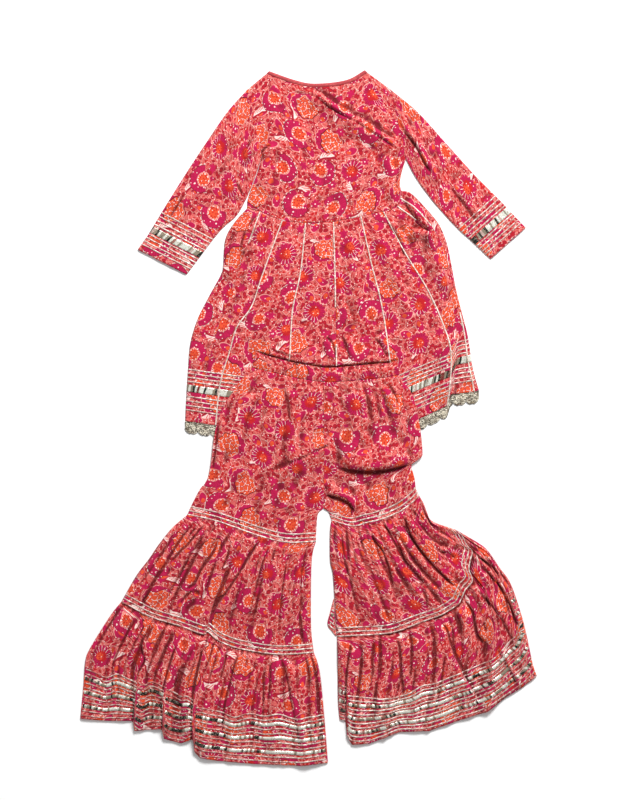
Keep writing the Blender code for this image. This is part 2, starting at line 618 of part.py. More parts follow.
def turned_corner():
    """The corner of the right leg's back hem, which shows beside the middle tier."""
    plan = np.stack([smooth(CORNER_OUTER, 2), smooth(CORNER_INNER, 2)], axis=1)
    panel("back_hem_corner", plan, 0.0)


def kurta():
    plan = skirt_plan()
    rise = kurta_rise(plan) * faded_sides(plan, share=0.04)
    skirt_panels(plan, rise)
    panel("skirt_back", plan[:, ::PANEL_COLUMNS], 0.0)
    hem_gota(plan, rise)
    lace("hem_lace_front", plan[-1], FRONT_LAYER, pierced=True)
    lace("hem_lace_back", plan[-1, ::PANEL_COLUMNS], 0.0, pierced=False)
    bodice(plan[0])
    sleeve("sleeve_left", LEFT_SHOULDER_TIP, LEFT_ARMPIT, LEFT_SLEEVE_OUTER, LEFT_SLEEVE_INNER, -GAP)
    sleeve("sleeve_right", RIGHT_SHOULDER_TIP, RIGHT_ARMPIT, RIGHT_SLEEVE_OUTER, RIGHT_SLEEVE_INNER, GAP)


def sharara():
    waistband()
    waist = shifted(smooth(WAIST_SEAM), dy=-GAP)
    middle = np.argmin(np.abs(waist[:, 0] - CENTRE_SEAM[0][0]))
    yoke("left", waist[: middle + 1], YOKE_LEFT_EDGE, LEFT_INSEAM, LEFT_YOKE_SEAM, seed=7)
    yoke("right", waist[middle:], YOKE_RIGHT_EDGE, RIGHT_INSEAM, RIGHT_YOKE_SEAM, seed=8)
    tier("middle_tier_left", LEFT_YOKE_SEAM, LEFT_TIER_SEAM, LEFT_MIDDLE_EDGE, LEFT_MIDDLE_INNER,
         LEFT_MIDDLE_PLEATS, seed=11, kinked=False)
    tier("middle_tier_right", RIGHT_YOKE_SEAM, RIGHT_TIER_SEAM, RIGHT_MIDDLE_INNER, RIGHT_MIDDLE_EDGE,
         RIGHT_MIDDLE_PLEATS, seed=12, kinked=False)
    tier("hem_tier_left", LEFT_TIER_SEAM, LEFT_HEM, LEFT_HEM_EDGE, LEFT_HEM_INNER,
         LEFT_HEM_PLEATS, seed=13, kinked=True)
    tier("hem_tier_right", RIGHT_TIER_SEAM, RIGHT_HEM, RIGHT_HEM_INNER, RIGHT_HEM_EDGE,
         RIGHT_HEM_PLEATS, seed=14, kinked=True)
    turned_corner()


def main():
    for thing in list(bpy.data.objects):
        bpy.data.objects.remove(thing)
    bpy.context.scene.collection.children.link(bpy.data.collections.new("Kurta set"))
    kurta()
    sharara()


main()
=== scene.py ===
"""The look of a girl's printed kurta and sharara, laid flat on a pale floor and seen from above.

Each cloth piece is a thin shell over its solid's form, with its own folds, print and ribbon.
Left and right are those of somebody who looks down at the set. Sizes are in millimetres.
"""

import bpy
import numpy as np
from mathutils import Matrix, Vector
from mathutils.bvhtree import BVHTree


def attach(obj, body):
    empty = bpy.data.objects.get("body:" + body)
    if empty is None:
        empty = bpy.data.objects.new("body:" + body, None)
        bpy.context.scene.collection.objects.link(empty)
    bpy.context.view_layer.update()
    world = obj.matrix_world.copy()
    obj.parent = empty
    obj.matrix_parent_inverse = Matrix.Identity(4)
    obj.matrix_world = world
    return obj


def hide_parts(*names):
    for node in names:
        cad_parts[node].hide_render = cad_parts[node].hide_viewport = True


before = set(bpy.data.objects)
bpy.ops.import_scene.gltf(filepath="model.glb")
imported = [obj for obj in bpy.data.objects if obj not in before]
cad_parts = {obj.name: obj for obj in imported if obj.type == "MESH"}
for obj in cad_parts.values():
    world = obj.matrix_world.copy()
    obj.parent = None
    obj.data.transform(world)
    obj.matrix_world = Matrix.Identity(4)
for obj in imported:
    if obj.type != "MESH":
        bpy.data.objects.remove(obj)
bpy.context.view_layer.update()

MM = 0.001

# Cloth: its thickness, the heights of its layers above the floor, and how its sides are rounded
SHELL = 0.45
BACK_HEIGHT = 0.6
FRONT_HEIGHT = 3.4
TUBE_TOP = 3.9
EDGE_HEIGHT = 1.2
EDGE_REACH = 6.0
SHARARA_LIFT = 4.2

# Folds: the highest one, the groove at a crease's foot, the shares of drawn pleats and gathers that
# are used, and the number of waves that make up the wrinkles
HIGHEST_FOLD = 19.0
GROOVE_SHARE = 0.5
GROOVE_SPREAD = 1.9
PLEAT_SHARE = 0.9
GATHER_SHARE = 1.25
WAVES = 14

# Ribbon, piping and lace: how thick they are and how high they lie
RIBBON_THICKNESS = 0.35
RIBBON_LIFT = 0.6
PIPING_RISE = 0.5
NET_THICKNESS = 0.4
THREAD_RADIUS = 0.5
THREAD_HEIGHT = 2.6

# How finely the cloth is divided, and how many of those steps one of a hidden side takes
STEP = 2.8
BACK_STEP = 4

# Kurta, as cut
WIDE_GOTA = 14.0
HEM_GOTA_HEIGHT = 66.5
CUFF_GOTA_HEIGHT = 49.0
CUFF_LINES = (14, 22, 30, 38, 61, 70, 79, 88)
HEM_LINES = (23, 32, 41, 50, 80, 88, 96, 104)
LINE_WIDTH = 2.6
PIPING_WIDTH = 2.5
LACE_SHALLOW = 17.5
LACE_DEEP = 24.5
SCALLOPS = 23

# Sharara, as cut: heights of the ribbon lines above each seam or hem, narrow and wide
SEAM_LINES = (1.6, 9.6, 18.0)
LEG_NARROW = (7, 16, 34.5, 43.5, 62, 71, 89.5, 98.5)
LEG_WIDE = (25.5, 53, 80.5)
LEG_WIDE_WIDTH = 6.8
LEG_ZONE = 102.0

# How far from a lobe's first edge the ribbon on the leg hems is darkened by painted shade
LEG_SHADE_REACH = 210.0

# Kurta, bodice
NECK_EDGE = [(-79, 694), (-27, 676), (13, 669), (75, 676), (113, 696)]
NECK_SEAM = [(-84, 689), (-29, 669), (13, 662), (77, 669), (118, 691)]
LEFT_SHOULDER_TIP = (-125, 655)
RIGHT_SHOULDER_TIP = (165, 657)
ARMHOLE_FOOT = 540
LEFT_ARMPIT = (-93, 526)
RIGHT_ARMPIT = (195, 518)
LEFT_SIDE_SEAM = [LEFT_ARMPIT, (-103, 490), (-116, 456), (-122, 436), (-123, 420)]
RIGHT_SIDE_SEAM = [RIGHT_ARMPIT, (189, 500), (185, 484), (183, 468), (186, 455)]

# Kurta, sleeves: the edge further from the body, then the edge nearer to it
LEFT_SLEEVE_OUTER = [(-163, 612), (-207, 548), (-249, 484), (-289, 420), (-318, 372), (-342, 337)]
LEFT_SLEEVE_INNER = [(-104, 490), (-117, 456), (-127, 434), (-145, 404), (-179, 372), (-244, 287)]
RIGHT_SLEEVE_OUTER = [(219, 612), (277, 548), (335, 484), (383, 436), (413, 404), (435, 381)]
RIGHT_SLEEVE_INNER = [(213, 484), (235, 452), (261, 420), (297, 381), (332, 349), (364, 318)]

# Kurta, skirt: both edges and the eight seams between its nine front panels, each from waist to hem
SKIRT_SEAMS = [
    [(-123, 420), (-151, 388), (-167, 356), (-171, 308), (-175, 288), (-199, 244), (-223, 196),
     (-237, 148), (-241, 100), (-245, 36), (-247, -6)],
    [(-97, 413), (-114, 366), (-135, 310), (-155, 250), (-178, 190), (-198, 120), (-212, 60), (-222, -10)],
    [(-53, 394), (-93, 284), (-114, 223), (-143, 182), (-159, 129), (-177, 68), (-186, -15)],
    [(-6, 390), (-16, 292), (-32, 215), (-38, 121), (-50, 40), (-60, -32)],
    [(50, 392), (53, 286), (54, 215), (56, 112), (57, 40), (58, -38)],
    [(105, 403), (123, 321), (147, 223), (162, 121), (170, 50), (175, -24)],
    [(150, 413), (192, 333), (241, 252), (276, 170), (285, 121), (282, 60), (277, 24)],
    [(178, 424), (230, 382), (258, 330), (283, 250), (295, 180), (297, 121), (290, 70), (284, 47)],
    [(184, 440), (212, 420), (245, 383), (270, 341), (294, 247), (311, 174), (318, 121), (332, 52)],
    [(186, 455), (205, 450), (235, 420), (261, 388), (275, 356), (283, 324), (295, 260), (307, 212),
     (319, 164), (329, 100), (341, 56)],
]

# Where the kurta puffs out above the sharara's waistband and falls behind it
PUFF_LINE = [(-105, 134), (-76, 125), (-54, 119), (-26, 112), (-2, 108), (29, 103), (52, 103),
             (85, 106), (111, 108), (140, 111), (160, 112), (179, 117)]
PUFF_HEIGHT = 7.5
PUFF_FALL = 9.0
PUFF_REACH = 45.0
TUCK = 8.0
COVER_MARGIN = 15.0

# Sharara: its seams and edges, the height of its fork and where it comes down to the floor
WAIST_SEAM = [(-113, 101), (-54, 87), (-2, 76), (29, 72), (52, 72), (85, 74), (140, 79), (182, 86)]
FORK = -170
SHARARA_DOWN = -150
CENTRE_SEAM = [(31, 72), (31, -30), (31, -110), (30, -181)]
YOKE_LEFT_EDGE = [(-113, 101), (-119, 89), (-134, 78), (-154, 49), (-170, 26), (-180, 3), (-189, -36),
                  (-191, -50), (-195, -87), (-203, -124), (-217, -142), (-233, -172), (-243, -194)]
YOKE_RIGHT_EDGE = [(182, 86), (187, 73), (203, 56), (214, 26), (221, -6), (225, -32), (228, -64),
                   (226, -78), (206, -93), (209, -108), (213, -124), (215, -140), (222, -156)]
LEFT_INSEAM = [(30, -181), (19, -192), (16, -220), (15, -248)]
RIGHT_INSEAM = [(30, -181), (40, -188), (46, -205)]
LEFT_YOKE_SEAM = [(-243, -194), (-192, -205), (-144, -221), (-92, -239), (-41, -250), (15, -248)]
RIGHT_YOKE_SEAM = [(46, -205), (87, -217), (116, -211), (141, -205), (164, -197), (187, -186),
                   (207, -171), (222, -156)]
LEFT_TIER_SEAM = [(-375, -368), (-318, -398), (-270, -413), (-211, -433), (-203, -428), (-181, -446),
                  (-151, -459), (-107, -468), (-52, -474), (11, -470)]
RIGHT_TIER_SEAM = [(57, -438), (146, -433), (182, -426), (224, -410), (267, -394), (299, -374),
                   (306, -363), (315, -344), (329, -326), (322, -303), (326, -281), (329, -267),
                   (319, -256), (308, -235), (296, -224)]
LEFT_HEM = [(-457, -602), (-404, -606), (-351, -606), (-348, -626), (-293, -622), (-289, -642),
            (-255, -651), (-231, -642), (-228, -668), (-217, -680), (-181, -686), (-113, -692),
            (-15, -696), (39, -690)]
RIGHT_HEM = [(62, -603), (74, -606), (77, -636), (87, -654), (121, -652), (181, -629), (242, -626),
             (305, -604), (357, -588), (399, -556), (427, -540), (457, -516)]
LEFT_MIDDLE_EDGE = [(-243, -194), (-273, -220), (-299, -252), (-321, -284), (-345, -316), (-375, -368)]
LEFT_MIDDLE_INNER = [(15, -248), (9, -268), (6, -300), (5, -380), (6, -430), (11, -470)]
RIGHT_MIDDLE_EDGE = [(222, -156), (231, -172), (237, -188), (247, -206), (281, -219), (296, -224)]
RIGHT_MIDDLE_INNER = [(46, -205), (43, -224), (43, -284), (49, -316), (54, -400), (57, -438)]
LEFT_HEM_EDGE = [(-375, -368), (-397, -396), (-437, -460), (-447, -488), (-451, -540), (-457, -602)]
LEFT_HEM_INNER = [(11, -470), (19, -492), (25, -524), (31, -588), (35, -636), (39, -690)]
RIGHT_HEM_EDGE = [(296, -224), (343, -252), (361, -268), (383, -300), (405, -332), (427, -396),
                  (438, -440), (449, -492), (457, -516)]
RIGHT_HEM_INNER = [(57, -438), (58, -500), (59, -564), (62, -603)]
CORNER_OUTER = [(50, -362), (44, -385), (38, -412), (46, -426), (54, -436)]
CORNER_INNER = [(51, -362), (52.3, -385), (54, -412), (55, -426), (56, -436)]

# Folds of the kurta: path of the crest, height, spread on the path's left, spread on its right
KURTA_FOLDS = [
    ([(-23, 654), (21, 644), (43, 627), (85, 596), (126, 575), (167, 549), (194, 524)], 8, 7, 20),
    ([(-70, 560), (-78, 500), (-92, 440)], 4, 10, 14),
    ([(150, 530), (168, 490), (166, 440)], 5, 9, 12),
    ([(-20, 610), (-30, 530), (-20, 450)], 3, 22, 26),
    ([(70, 560), (62, 500), (66, 430)], 3, 20, 24),
    ([(-108, 402), (-138, 370), (-150, 320), (-160, 270)], 7, 12, 10),
    ([(-75, 380), (-112, 290), (-138, 210), (-166, 150), (-190, 60)], 5, 14, 12),
    ([(-28, 375), (-50, 290), (-72, 210), (-90, 140)], 6, 12, 16),
    ([(22, 376), (20, 300), (10, 220), (8, 150)], 4, 14, 16),
    ([(60, 300), (66, 230), (86, 180)], 5, 8, 16),
    ([(80, 385), (92, 300), (104, 220), (112, 150)], 5, 14, 12),
    ([(128, 392), (160, 320), (188, 250), (212, 180)], 6, 12, 14),
    ([(196, 440), (228, 402), (250, 360), (262, 300), (278, 240)], 9, 12, 16),
    ([(190, 380), (226, 368), (252, 366)], 5, 8, 10),
    ([(290, 180), (289, 120), (284, 60), (279, 20)], 8, 6, 26),
    ([(312, 150), (322, 100), (330, 60)], 3, 8, 8),
    ([(-215, 170), (-220, 90), (-224, 10)], 4, 9, 12),
]

# Folds of the sleeves, as above
SLEEVE_FOLDS = [
    ([(175, 623), (189, 584), (214, 556), (247, 497), (262, 462)], 6, 10, 18),
    ([(300, 490), (330, 440), (350, 400)], 3, 16, 18),
    ([(-140, 610), (-180, 545), (-222, 470), (-262, 400)], 5, 16, 20),
    ([(-120, 560), (-150, 500), (-165, 440)], 4, 12, 14),
]

# Folds of the sharara's upper part, as above
YOKE_FOLDS = [
    ([(54, -84), (95, -90), (125, -95), (150, -93), (177, -87), (212, -76)], 12, 34, 9),
    ([(54, -42), (22, -60), (3, -70), (-15, -78), (-44, -92)], 7, 9, 24),
    ([(31, -144), (61, -150), (90, -158)], 4, 12, 7),
    ([(-110, 60), (-140, 0), (-160, -70)], 6, 14, 16),
    ([(-60, 66), (-72, 0), (-82, -60)], 4, 12, 16),
    ([(95, 60), (104, 10), (100, -50)], 5, 12, 14),
    ([(160, 56), (182, 10), (190, -50)], 6, 12, 12),
    ([(-150, -80), (-172, -140), (-196, -190)], 5, 12, 16),
    ([(-70, -110), (-82, -170), (-96, -225)], 5, 12, 14),
    ([(-5, -110), (-16, -170), (-20, -235)], 4, 10, 14),
    ([(100, -125), (104, -165), (112, -200)], 4, 10, 10),
    ([(165, -112), (178, -140), (192, -172)], 5, 9, 10),
]

# Pleats of a tier: place at its top and at its foot as shares of the width, where they start and end
# as shares of its depth, height, half width as a share of the width
LEFT_MIDDLE_PLEATS = [
    (0.08, 0.06, 0.0, 1.0, 4, 0.030), (0.19, 0.15, 0.0, 0.9, 6, 0.026), (0.29, 0.27, 0.1, 1.0, 5, 0.030),
    (0.41, 0.42, 0.0, 1.0, 9, 0.030), (0.50, 0.52, 0.0, 0.8, 5, 0.024), (0.61, 0.62, 0.1, 1.0, 6, 0.032),
    (0.74, 0.75, 0.0, 1.0, 5, 0.028), (0.87, 0.88, 0.0, 0.9, 5, 0.030),
]
RIGHT_MIDDLE_PLEATS = [
    (0.10, 0.07, 0.0, 1.0, 5, 0.034), (0.24, 0.18, 0.0, 0.9, 5, 0.030), (0.38, 0.31, 0.1, 1.0, 7, 0.032),
    (0.51, 0.45, 0.0, 1.0, 5, 0.028), (0.63, 0.60, 0.0, 1.0, 8, 0.030), (0.76, 0.74, 0.1, 1.0, 6, 0.030),
    (0.89, 0.90, 0.0, 0.9, 5, 0.030),
]
LEFT_HEM_PLEATS = [
    (0.07, 0.06, 0.1, 1.0, 5, 0.030), (0.16, 0.17, 0.0, 1.0, 4, 0.024), (0.23, 0.225, 0.0, 1.0, 9, 0.024),
    (0.33, 0.345, 0.0, 1.0, 9, 0.026), (0.42, 0.445, 0.0, 1.0, 11, 0.026), (0.55, 0.56, 0.1, 1.0, 6, 0.030),
    (0.68, 0.68, 0.0, 1.0, 5, 0.028), (0.80, 0.81, 0.0, 1.0, 7, 0.028), (0.91, 0.92, 0.1, 1.0, 4, 0.028),
]
RIGHT_HEM_PLEATS = [
    (0.05, 0.06, 0.1, 1.0, 6, 0.028), (0.15, 0.17, 0.0, 1.0, 7, 0.028), (0.27, 0.29, 0.0, 1.0, 5, 0.028),
    (0.38, 0.41, 0.0, 1.0, 8, 0.028), (0.49, 0.53, 0.0, 1.0, 5, 0.026), (0.60, 0.64, 0.0, 1.0, 7, 0.028),
    (0.71, 0.75, 0.0, 1.0, 9, 0.028), (0.82, 0.85, 0.0, 1.0, 7, 0.028), (0.92, 0.94, 0.1, 0.9, 4, 0.028),
]

# Creases of the kurta, then those of its sleeves, in the same way
KURTA_CREASES = [
    ([(-57, 662), (8, 652), (46, 624), (104, 592), (161, 555), (194, 532)], 5, 9, 3),
    ([(-95, 524), (-84, 535), (-70, 544)], 5, 3, 9),
    ([(196, 436), (226, 392), (256, 372)], 5, 9, 4),
    ([(-100, 400), (-120, 372), (-132, 330)], 4, 8, 4),
    ([(160, 400), (186, 360), (200, 320)], 4, 8, 4),
    ([(74, 168), (84, 140), (90, 116)], 4, 8, 4),
    ([(30, 160), (44, 146), (52, 112)], 4, 3, 9),
    ([(138, 168), (152, 150), (166, 124)], 4.5, 12, 5),
    ([(-80, 142), (-52, 134), (-24, 122)], 3, 5, 3),
]
SLEEVE_CREASES = [
    ([(177, 610), (195, 576), (219, 545), (237, 510), (257, 484)], 5, 12, 3),
    ([(-128, 520), (-118, 540), (-108, 552)], 4, 3, 8),
    ([(-150, 470), (-140, 446), (-132, 436)], 3, 4, 6),
    ([(286, 470), (316, 432), (344, 392)], 3, 10, 4),
    ([(-236, 452), (-262, 410), (-280, 384)], 3, 10, 5),
]

# Where on the printed cloth each skirt panel was cut
PANEL_SHIFTS = [
    (0, 0), (61, 140), (133, 35), (20, 210), (190, 90), (95, 300), (260, 15), (310, 180), (45, 400),
]

# Where each piped seam shows, as shares of the way from waist to hem
PIPING_ROWS = [
    [(0.0, 0.16)], [(0.0, 1.0)], [(0.0, 1.0)], [(0.0, 0.40), (0.57, 0.68)], [(0.0, 1.0)], [(0.0, 1.0)],
    [(0.0, 0.12)], [(0.0, 0.20), (0.62, 1.0)],
]

# Creases of the sharara's upper part: path of the crest, height, spread left and right of it
YOKE_CREASES = [
    ([(58, -96), (90, -101), (123, -103), (150, -101), (175, -96), (208, -88)], 8.5, 26, 2.6),
    ([(58, -54), (29, -66), (4, -79), (-28, -93), (-60, -106), (-84, -112)], 6.5, 22, 4),
    ([(34, -150), (61, -156), (83, -168), (96, -186)], 8, 14, 2.4),
    ([(-42, 62), (-34, 30), (-30, -10)], 3, 8, 4),
    ([(88, 66), (96, 20), (100, -40)], 3.5, 5, 9),
    ([(150, 70), (166, 40), (176, -10)], 4, 5, 9),
    ([(-170, 10), (-176, -50), (-184, -110)], 4, 9, 5),
]

# Lobes of cloth with a sharp crease at their foot: path of the crest, height, spread left and right of it
LEFT_HEM_FOLDS = [
    ([(-256, -444), (-269, -482), (-280, -520), (-289, -560), (-288, -606), (-287, -647)], 9, 16, 3),
    ([(-203, -440), (-211, -475), (-221, -523), (-227, -558), (-230, -606), (-228, -672)], 10, 20, 3),
    ([(-322, -424), (-330, -456), (-322, -485), (-337, -515), (-343, -565), (-348, -625)], 8, 16, 3),
    ([(-256, -486), (-266, -500), (-273, -520)], 4, 5, 3),
    ([(-121, -464), (-139, -485), (-149, -523), (-162, -575), (-168, -640)], 5, 12, 3.5),
    ([(-49, -472), (-36, -520), (-28, -564), (-20, -600), (-10, -670)], 5, 8, 4),
    ([(-84, -500), (-84, -582), (-92, -660)], 4, 14, 4),
]
RIGHT_HEM_FOLDS = [
    ([(250, -400), (271, -427), (278, -454), (295, -492), (309, -520), (343, -575)], 8, 4, 18),
    ([(315, -358), (333, -386), (341, -430), (364, -451)], 7, 16, 3.5),
    ([(350, -293), (371, -317), (391, -340), (404, -368), (416, -398), (428, -428)], 7, 11, 2.6),
    ([(380, -456), (393, -480), (408, -508), (422, -534)], 5, 9, 2.4),
    ([(330, -330), (365, -364), (392, -400), (412, -440)], 6, 10, 4),
    ([(330, -268), (362, -284), (388, -312)], 6, 8, 4),
    ([(175, -427), (188, -454), (191, -499), (198, -560)], 5, 12, 4),
    ([(130, -470), (140, -530), (140, -572), (138, -620)], 4, 8, 4),
    ([(92, -446), (84, -480), (78, -540), (79, -600), (81, -640)], 7, 10, 2.4),
]
LEFT_MIDDLE_FOLDS = [
    ([(-192, -210), (-208, -223), (-231, -250), (-258, -277), (-284, -302)], 7, 14, 3.5),
    ([(-89, -244), (-99, -256), (-115, -280), (-132, -310), (-159, -350), (-179, -376), (-192, -400)],
     9, 18, 3.5),
    ([(-178, -262), (-192, -280), (-212, -310), (-225, -336), (-251, -353)], 7, 12, 3.5),
    ([(-150, -240), (-156, -280), (-170, -310)], 5, 10, 4),
    ([(-215, -360), (-232, -352), (-252, -372), (-262, -396)], 5, 8, 3),
    ([(-52, -262), (-58, -310), (-72, -360)], 4, 12, 5),
    ([(-12, -380), (-8, -420), (-4, -452)], 4, 6, 4),
]
RIGHT_MIDDLE_FOLDS = [
    ([(196, -190), (204, -224), (219, -251), (243, -282), (271, -310), (300, -339)], 9, 20, 3),
    ([(118, -218), (136, -240), (154, -262), (164, -289), (171, -317), (175, -348)], 6, 14, 4),
    ([(150, -205), (176, -232), (190, -260), (204, -300)], 5, 10, 4),
    ([(258, -232), (276, -242), (296, -258)], 6, 4, 9),
    ([(262, -262), (280, -262), (300, -276)], 5, 8, 4),
    ([(84, -230), (86, -280), (84, -330)], 4, 12, 5),
    ([(226, -320), (240, -350), (246, -384)], 4, 10, 4),
]

# Small gathers: how many, height, half width as a share of the width; then the seed and the reach
YOKE_LONG_GATHERS = (16, 4.2, 0.02)
YOKE_SHORT_GATHERS = (30, 2.2, 0.008)
WAIST_GATHERS = ((34, 3.4, 0.008, 41, 2.0), (60, 1.3, 0.0045, 42, 1.0))
TIER_FOLDS = {
    "middle_tier_left": ((30, 5.0, 0.012, 21), (64, 2.4, 0.0055, 22)),
    "middle_tier_right": ((26, 5.0, 0.013, 23), (54, 2.4, 0.006, 24)),
    "hem_tier_left": ((36, 7.0, 0.011, 25), (80, 2.3, 0.0045, 26)),
    "hem_tier_right": ((32, 5.0, 0.011, 27), (72, 2.3, 0.005, 28)),
}

# Ribbon on the leg hems, lobe by lobe: points along the hem, then the points that match them along
# the top of the striped part
LEFT_HEM_LOBES = [
    ([(-454, -601), (-430, -604), (-408, -606), (-388, -606), (-370, -606), (-351, -605)],
     [(-445, -499), (-424, -506), (-404, -516), (-385, -509), (-368, -514), (-342, -527)]),
    ([(-348, -623), (-338, -630), (-322, -624), (-293, -620)],
     [(-339, -524), (-326, -530), (-312, -524), (-289, -534)]),
    ([(-288, -636), (-277, -647), (-258, -650), (-244, -646), (-233, -640)],
     [(-284, -538), (-274, -541), (-256, -552), (-243, -552), (-230, -562)]),
    ([(-227, -672), (-212, -681), (-180, -685), (-150, -688), (-113, -691), (-84, -693), (-50, -695),
      (-15, -695), (10, -692), (36, -689)],
     [(-225, -574), (-205, -577), (-176, -584), (-146, -594), (-120, -587), (-90, -592), (-60, -588),
      (-26, -598), (0, -594), (30, -590)]),
]
RIGHT_HEM_LOBES = [
    ([(61, -600), (67, -602), (74, -603)], [(60, -530), (67, -533), (75, -536)]),
    ([(78, -640), (88, -652), (121, -651), (150, -640), (181, -628), (212, -627), (242, -625),
      (274, -615), (305, -603), (345, -591), (377, -573), (408, -552), (434, -534), (455, -514)],
     [(79, -552), (92, -553), (121, -556), (150, -559), (180, -555), (203, -547), (224, -533),
      (250, -528), (285, -514), (323, -498), (371, -476), (399, -446), (413, -432), (422, -406)]),
    ([(429, -441), (435, -438), (440, -434)], [(398, -347), (403, -344), (408, -341)]),
]
CORNER_ZONE = 60.0
CORNER_LINES = (2, 10, 18, 34, 42, 58)
CORNER_WIDE_LINES = (26, 50)
CORNER_LOBE = ([(37, -413), (47, -422), (57, -430)], [(45, -352), (52, -359), (59, -366)])

# Light
WORLD_STRENGTH = 0.45
LAMP_POWER = 430.0
LAMP_SIZE = 1.7
LAMP_PLACE = (1.5, 3.9, 3.7)

# Camera above the set, and the floor below it; places in metres
CAMERA_PLACE = (0.001, 0.036, 4.45)
CAMERA_LENS = 100
CAMERA_SENSOR = 36
FLOOR_SIZE = 14
FLOOR_HEIGHT = -0.0003
FLOOR_TONE = 0.94

# Print colours, as they look on screen in middling light
SALMON = (0.825, 0.375, 0.36)
PALE_PINK = (0.92, 0.64, 0.60)
DUSTY_RED = (0.66, 0.20, 0.20)
MAGENTA = (0.70, 0.04, 0.27)
DARK_MAGENTA = (0.50, 0.03, 0.17)
ORANGE = (0.84, 0.29, 0.16)
RED = (0.71, 0.08, 0.10)
CRIMSON = (0.62, 0.04, 0.15)
DARK_RED = (0.30, 0.03, 0.07)
IVORY = (0.96, 0.85, 0.82)
# Painted shade, multiplied into the cloth's colour where it dips in creases and between folds
FOLD_SHADE = (0.60, 0.36, 0.39)
BINDING_RED = (0.64, 0.21, 0.23)

# How far cloth dips, in millimetres, before its colour is given painted shade, and the painted shade for
# each one beyond that
DIP_START = 0.2
DIP_GAIN = 0.7

# Cells that the motifs stand in: width, height, how far one is moved from its cell's middle
FLOWER_CELL = (76, 66, 16)
LEAF_CELL = (84, 72, 18)
BUD_CELL = (41, 36, 12)

# Metallic ribbon and lace, in the same light; the mirror ribbon's grey and near black are painted reflection
# and shade
SILVER = (0.88, 0.88, 0.83)
SILVER_SHADE = (0.56, 0.51, 0.44)
SILVER_DARK_REFLECTION = (0.06, 0.07, 0.05)
GOTA_PINK = (0.82, 0.70, 0.67)
PIPING_PALE = (0.90, 0.80, 0.76)
GOTA_HIGHLIGHT = (0.98, 0.94, 0.90)
LACE = (0.54, 0.49, 0.40)
LACE_LIGHT = (0.93, 0.90, 0.82)
LACE_DARK = (0.24, 0.19, 0.13)
LACE_BROWN = (0.46, 0.30, 0.24)

# Length of one mirrored bar on the wide ribbon
BAR_LENGTH = 4.6


def soft(t):
    """A step from 0 to 1 that starts and ends gently."""
    t = np.clip(t, 0, 1)
    return t * t * (3 - 2 * t)


def smooth(points, steps=10):
    """A curve through the points, as a fine run of points."""
    fixed = np.array(points, float)
    knots = np.vstack([2 * fixed[0] - fixed[1], fixed, 2 * fixed[-1] - fixed[-2]])
    t = np.linspace(0, 1, steps, endpoint=False)[:, None]
    runs = []
    for a, b, c, d in zip(knots, knots[1:], knots[2:], knots[3:]):
        bend = 2 * a - 5 * b + 4 * c - d
        twist = 3 * b - a - 3 * c + d
        runs.append(b + 0.5 * (t * (c - a) + t**2 * bend + t**3 * twist))
    return np.vstack(runs + [fixed[-1:]])


def lengths(line):
    """How far along a line each of its points lies."""
    steps = np.linalg.norm(np.diff(line, axis=0), axis=1)
    return np.concatenate([[0], np.cumsum(steps)])


def points_at(line, distances):
    run = lengths(line)
    return np.stack([np.interp(distances, run, line[:, axis]) for axis in range(2)], axis=1)


def moved_aside(line, distance):
    """A line moved to its own left by a distance, or to its right by a negative one."""
    way = np.gradient(line, axis=0)
    way = way / np.linalg.norm(way, axis=1, keepdims=True)
    return line + distance * np.column_stack([-way[:, 1], way[:, 0]])


def patch(top, bottom, left, right):
    """A sheet of plan points between four edges; left and right run from top to bottom."""
    top_share = lengths(top) / lengths(top)[-1]
    bottom_share = lengths(bottom) / lengths(bottom)[-1]
    left_share = lengths(left) / lengths(left)[-1]
    right_share = lengths(right) / lengths(right)[-1]
    u = ((top_share + bottom_share) / 2)[None, :, None]
    v = ((left_share + right_share) / 2)[:, None, None]
    across = (1 - u) * left[:, None] + u * right[:, None]
    down = (1 - v) * top[None] + v * bottom[None]
    corners = (1 - v) * ((1 - u) * top[0] + u * top[-1]) + v * ((1 - u) * bottom[0] + u * bottom[-1])
    return across + down - corners


def ridges(plan, folds):
    """Height of a set of folds: each is a soft ridge along its own path, faded at both ends."""
    x, y = plan[..., 0], plan[..., 1]
    height = np.zeros(x.shape)
    for path, crest, spread_left, spread_right in folds:
        line = np.array(path, float)
        run = lengths(line)
        nearest = np.full(x.shape, np.inf)
        side = np.zeros(x.shape)
        along = np.zeros(x.shape)
        for (ax, ay), (bx, by), start in zip(line, line[1:], run):
            dx, dy = bx - ax, by - ay
            span = np.hypot(dx, dy)
            t = np.clip(((x - ax) * dx + (y - ay) * dy) / span**2, 0, 1)
            distance = np.hypot(x - ax - t * dx, y - ay - t * dy)
            closer = distance < nearest
            nearest = np.where(closer, distance, nearest)
            side = np.where(closer, dx * (y - ay) - dy * (x - ax), side)
            along = np.where(closer, (start + t * span) / run[-1], along)
        spread = np.where(side > 0, spread_left, spread_right)
        fade = soft(along / 0.2) * soft((1 - along) / 0.2)
        height = height + crest * fade * np.exp(-((nearest / spread) ** 2))
    return height


def shares(plan):
    """Each point's place across and down its sheet, from 0 to 1."""
    rows, columns = plan.shape[:2]
    return np.meshgrid(np.linspace(0, 1, columns), np.linspace(0, 1, rows))


def pleats(plan, table):
    u, v = shares(plan)
    height = np.zeros(u.shape)
    for at_top, at_foot, start, end, crest, half_width in table:
        middle = at_top + (at_foot - at_top) * v
        fade = soft((v - start + 0.15) / 0.3) * soft((end - v + 0.1) / 0.3)
        height = height + crest * fade * np.exp(-(((u - middle) / half_width) ** 2))
    return height


def puff_line(x):
    line = np.array(PUFF_LINE, float)
    return np.interp(x, line[:, 0], line[:, 1])


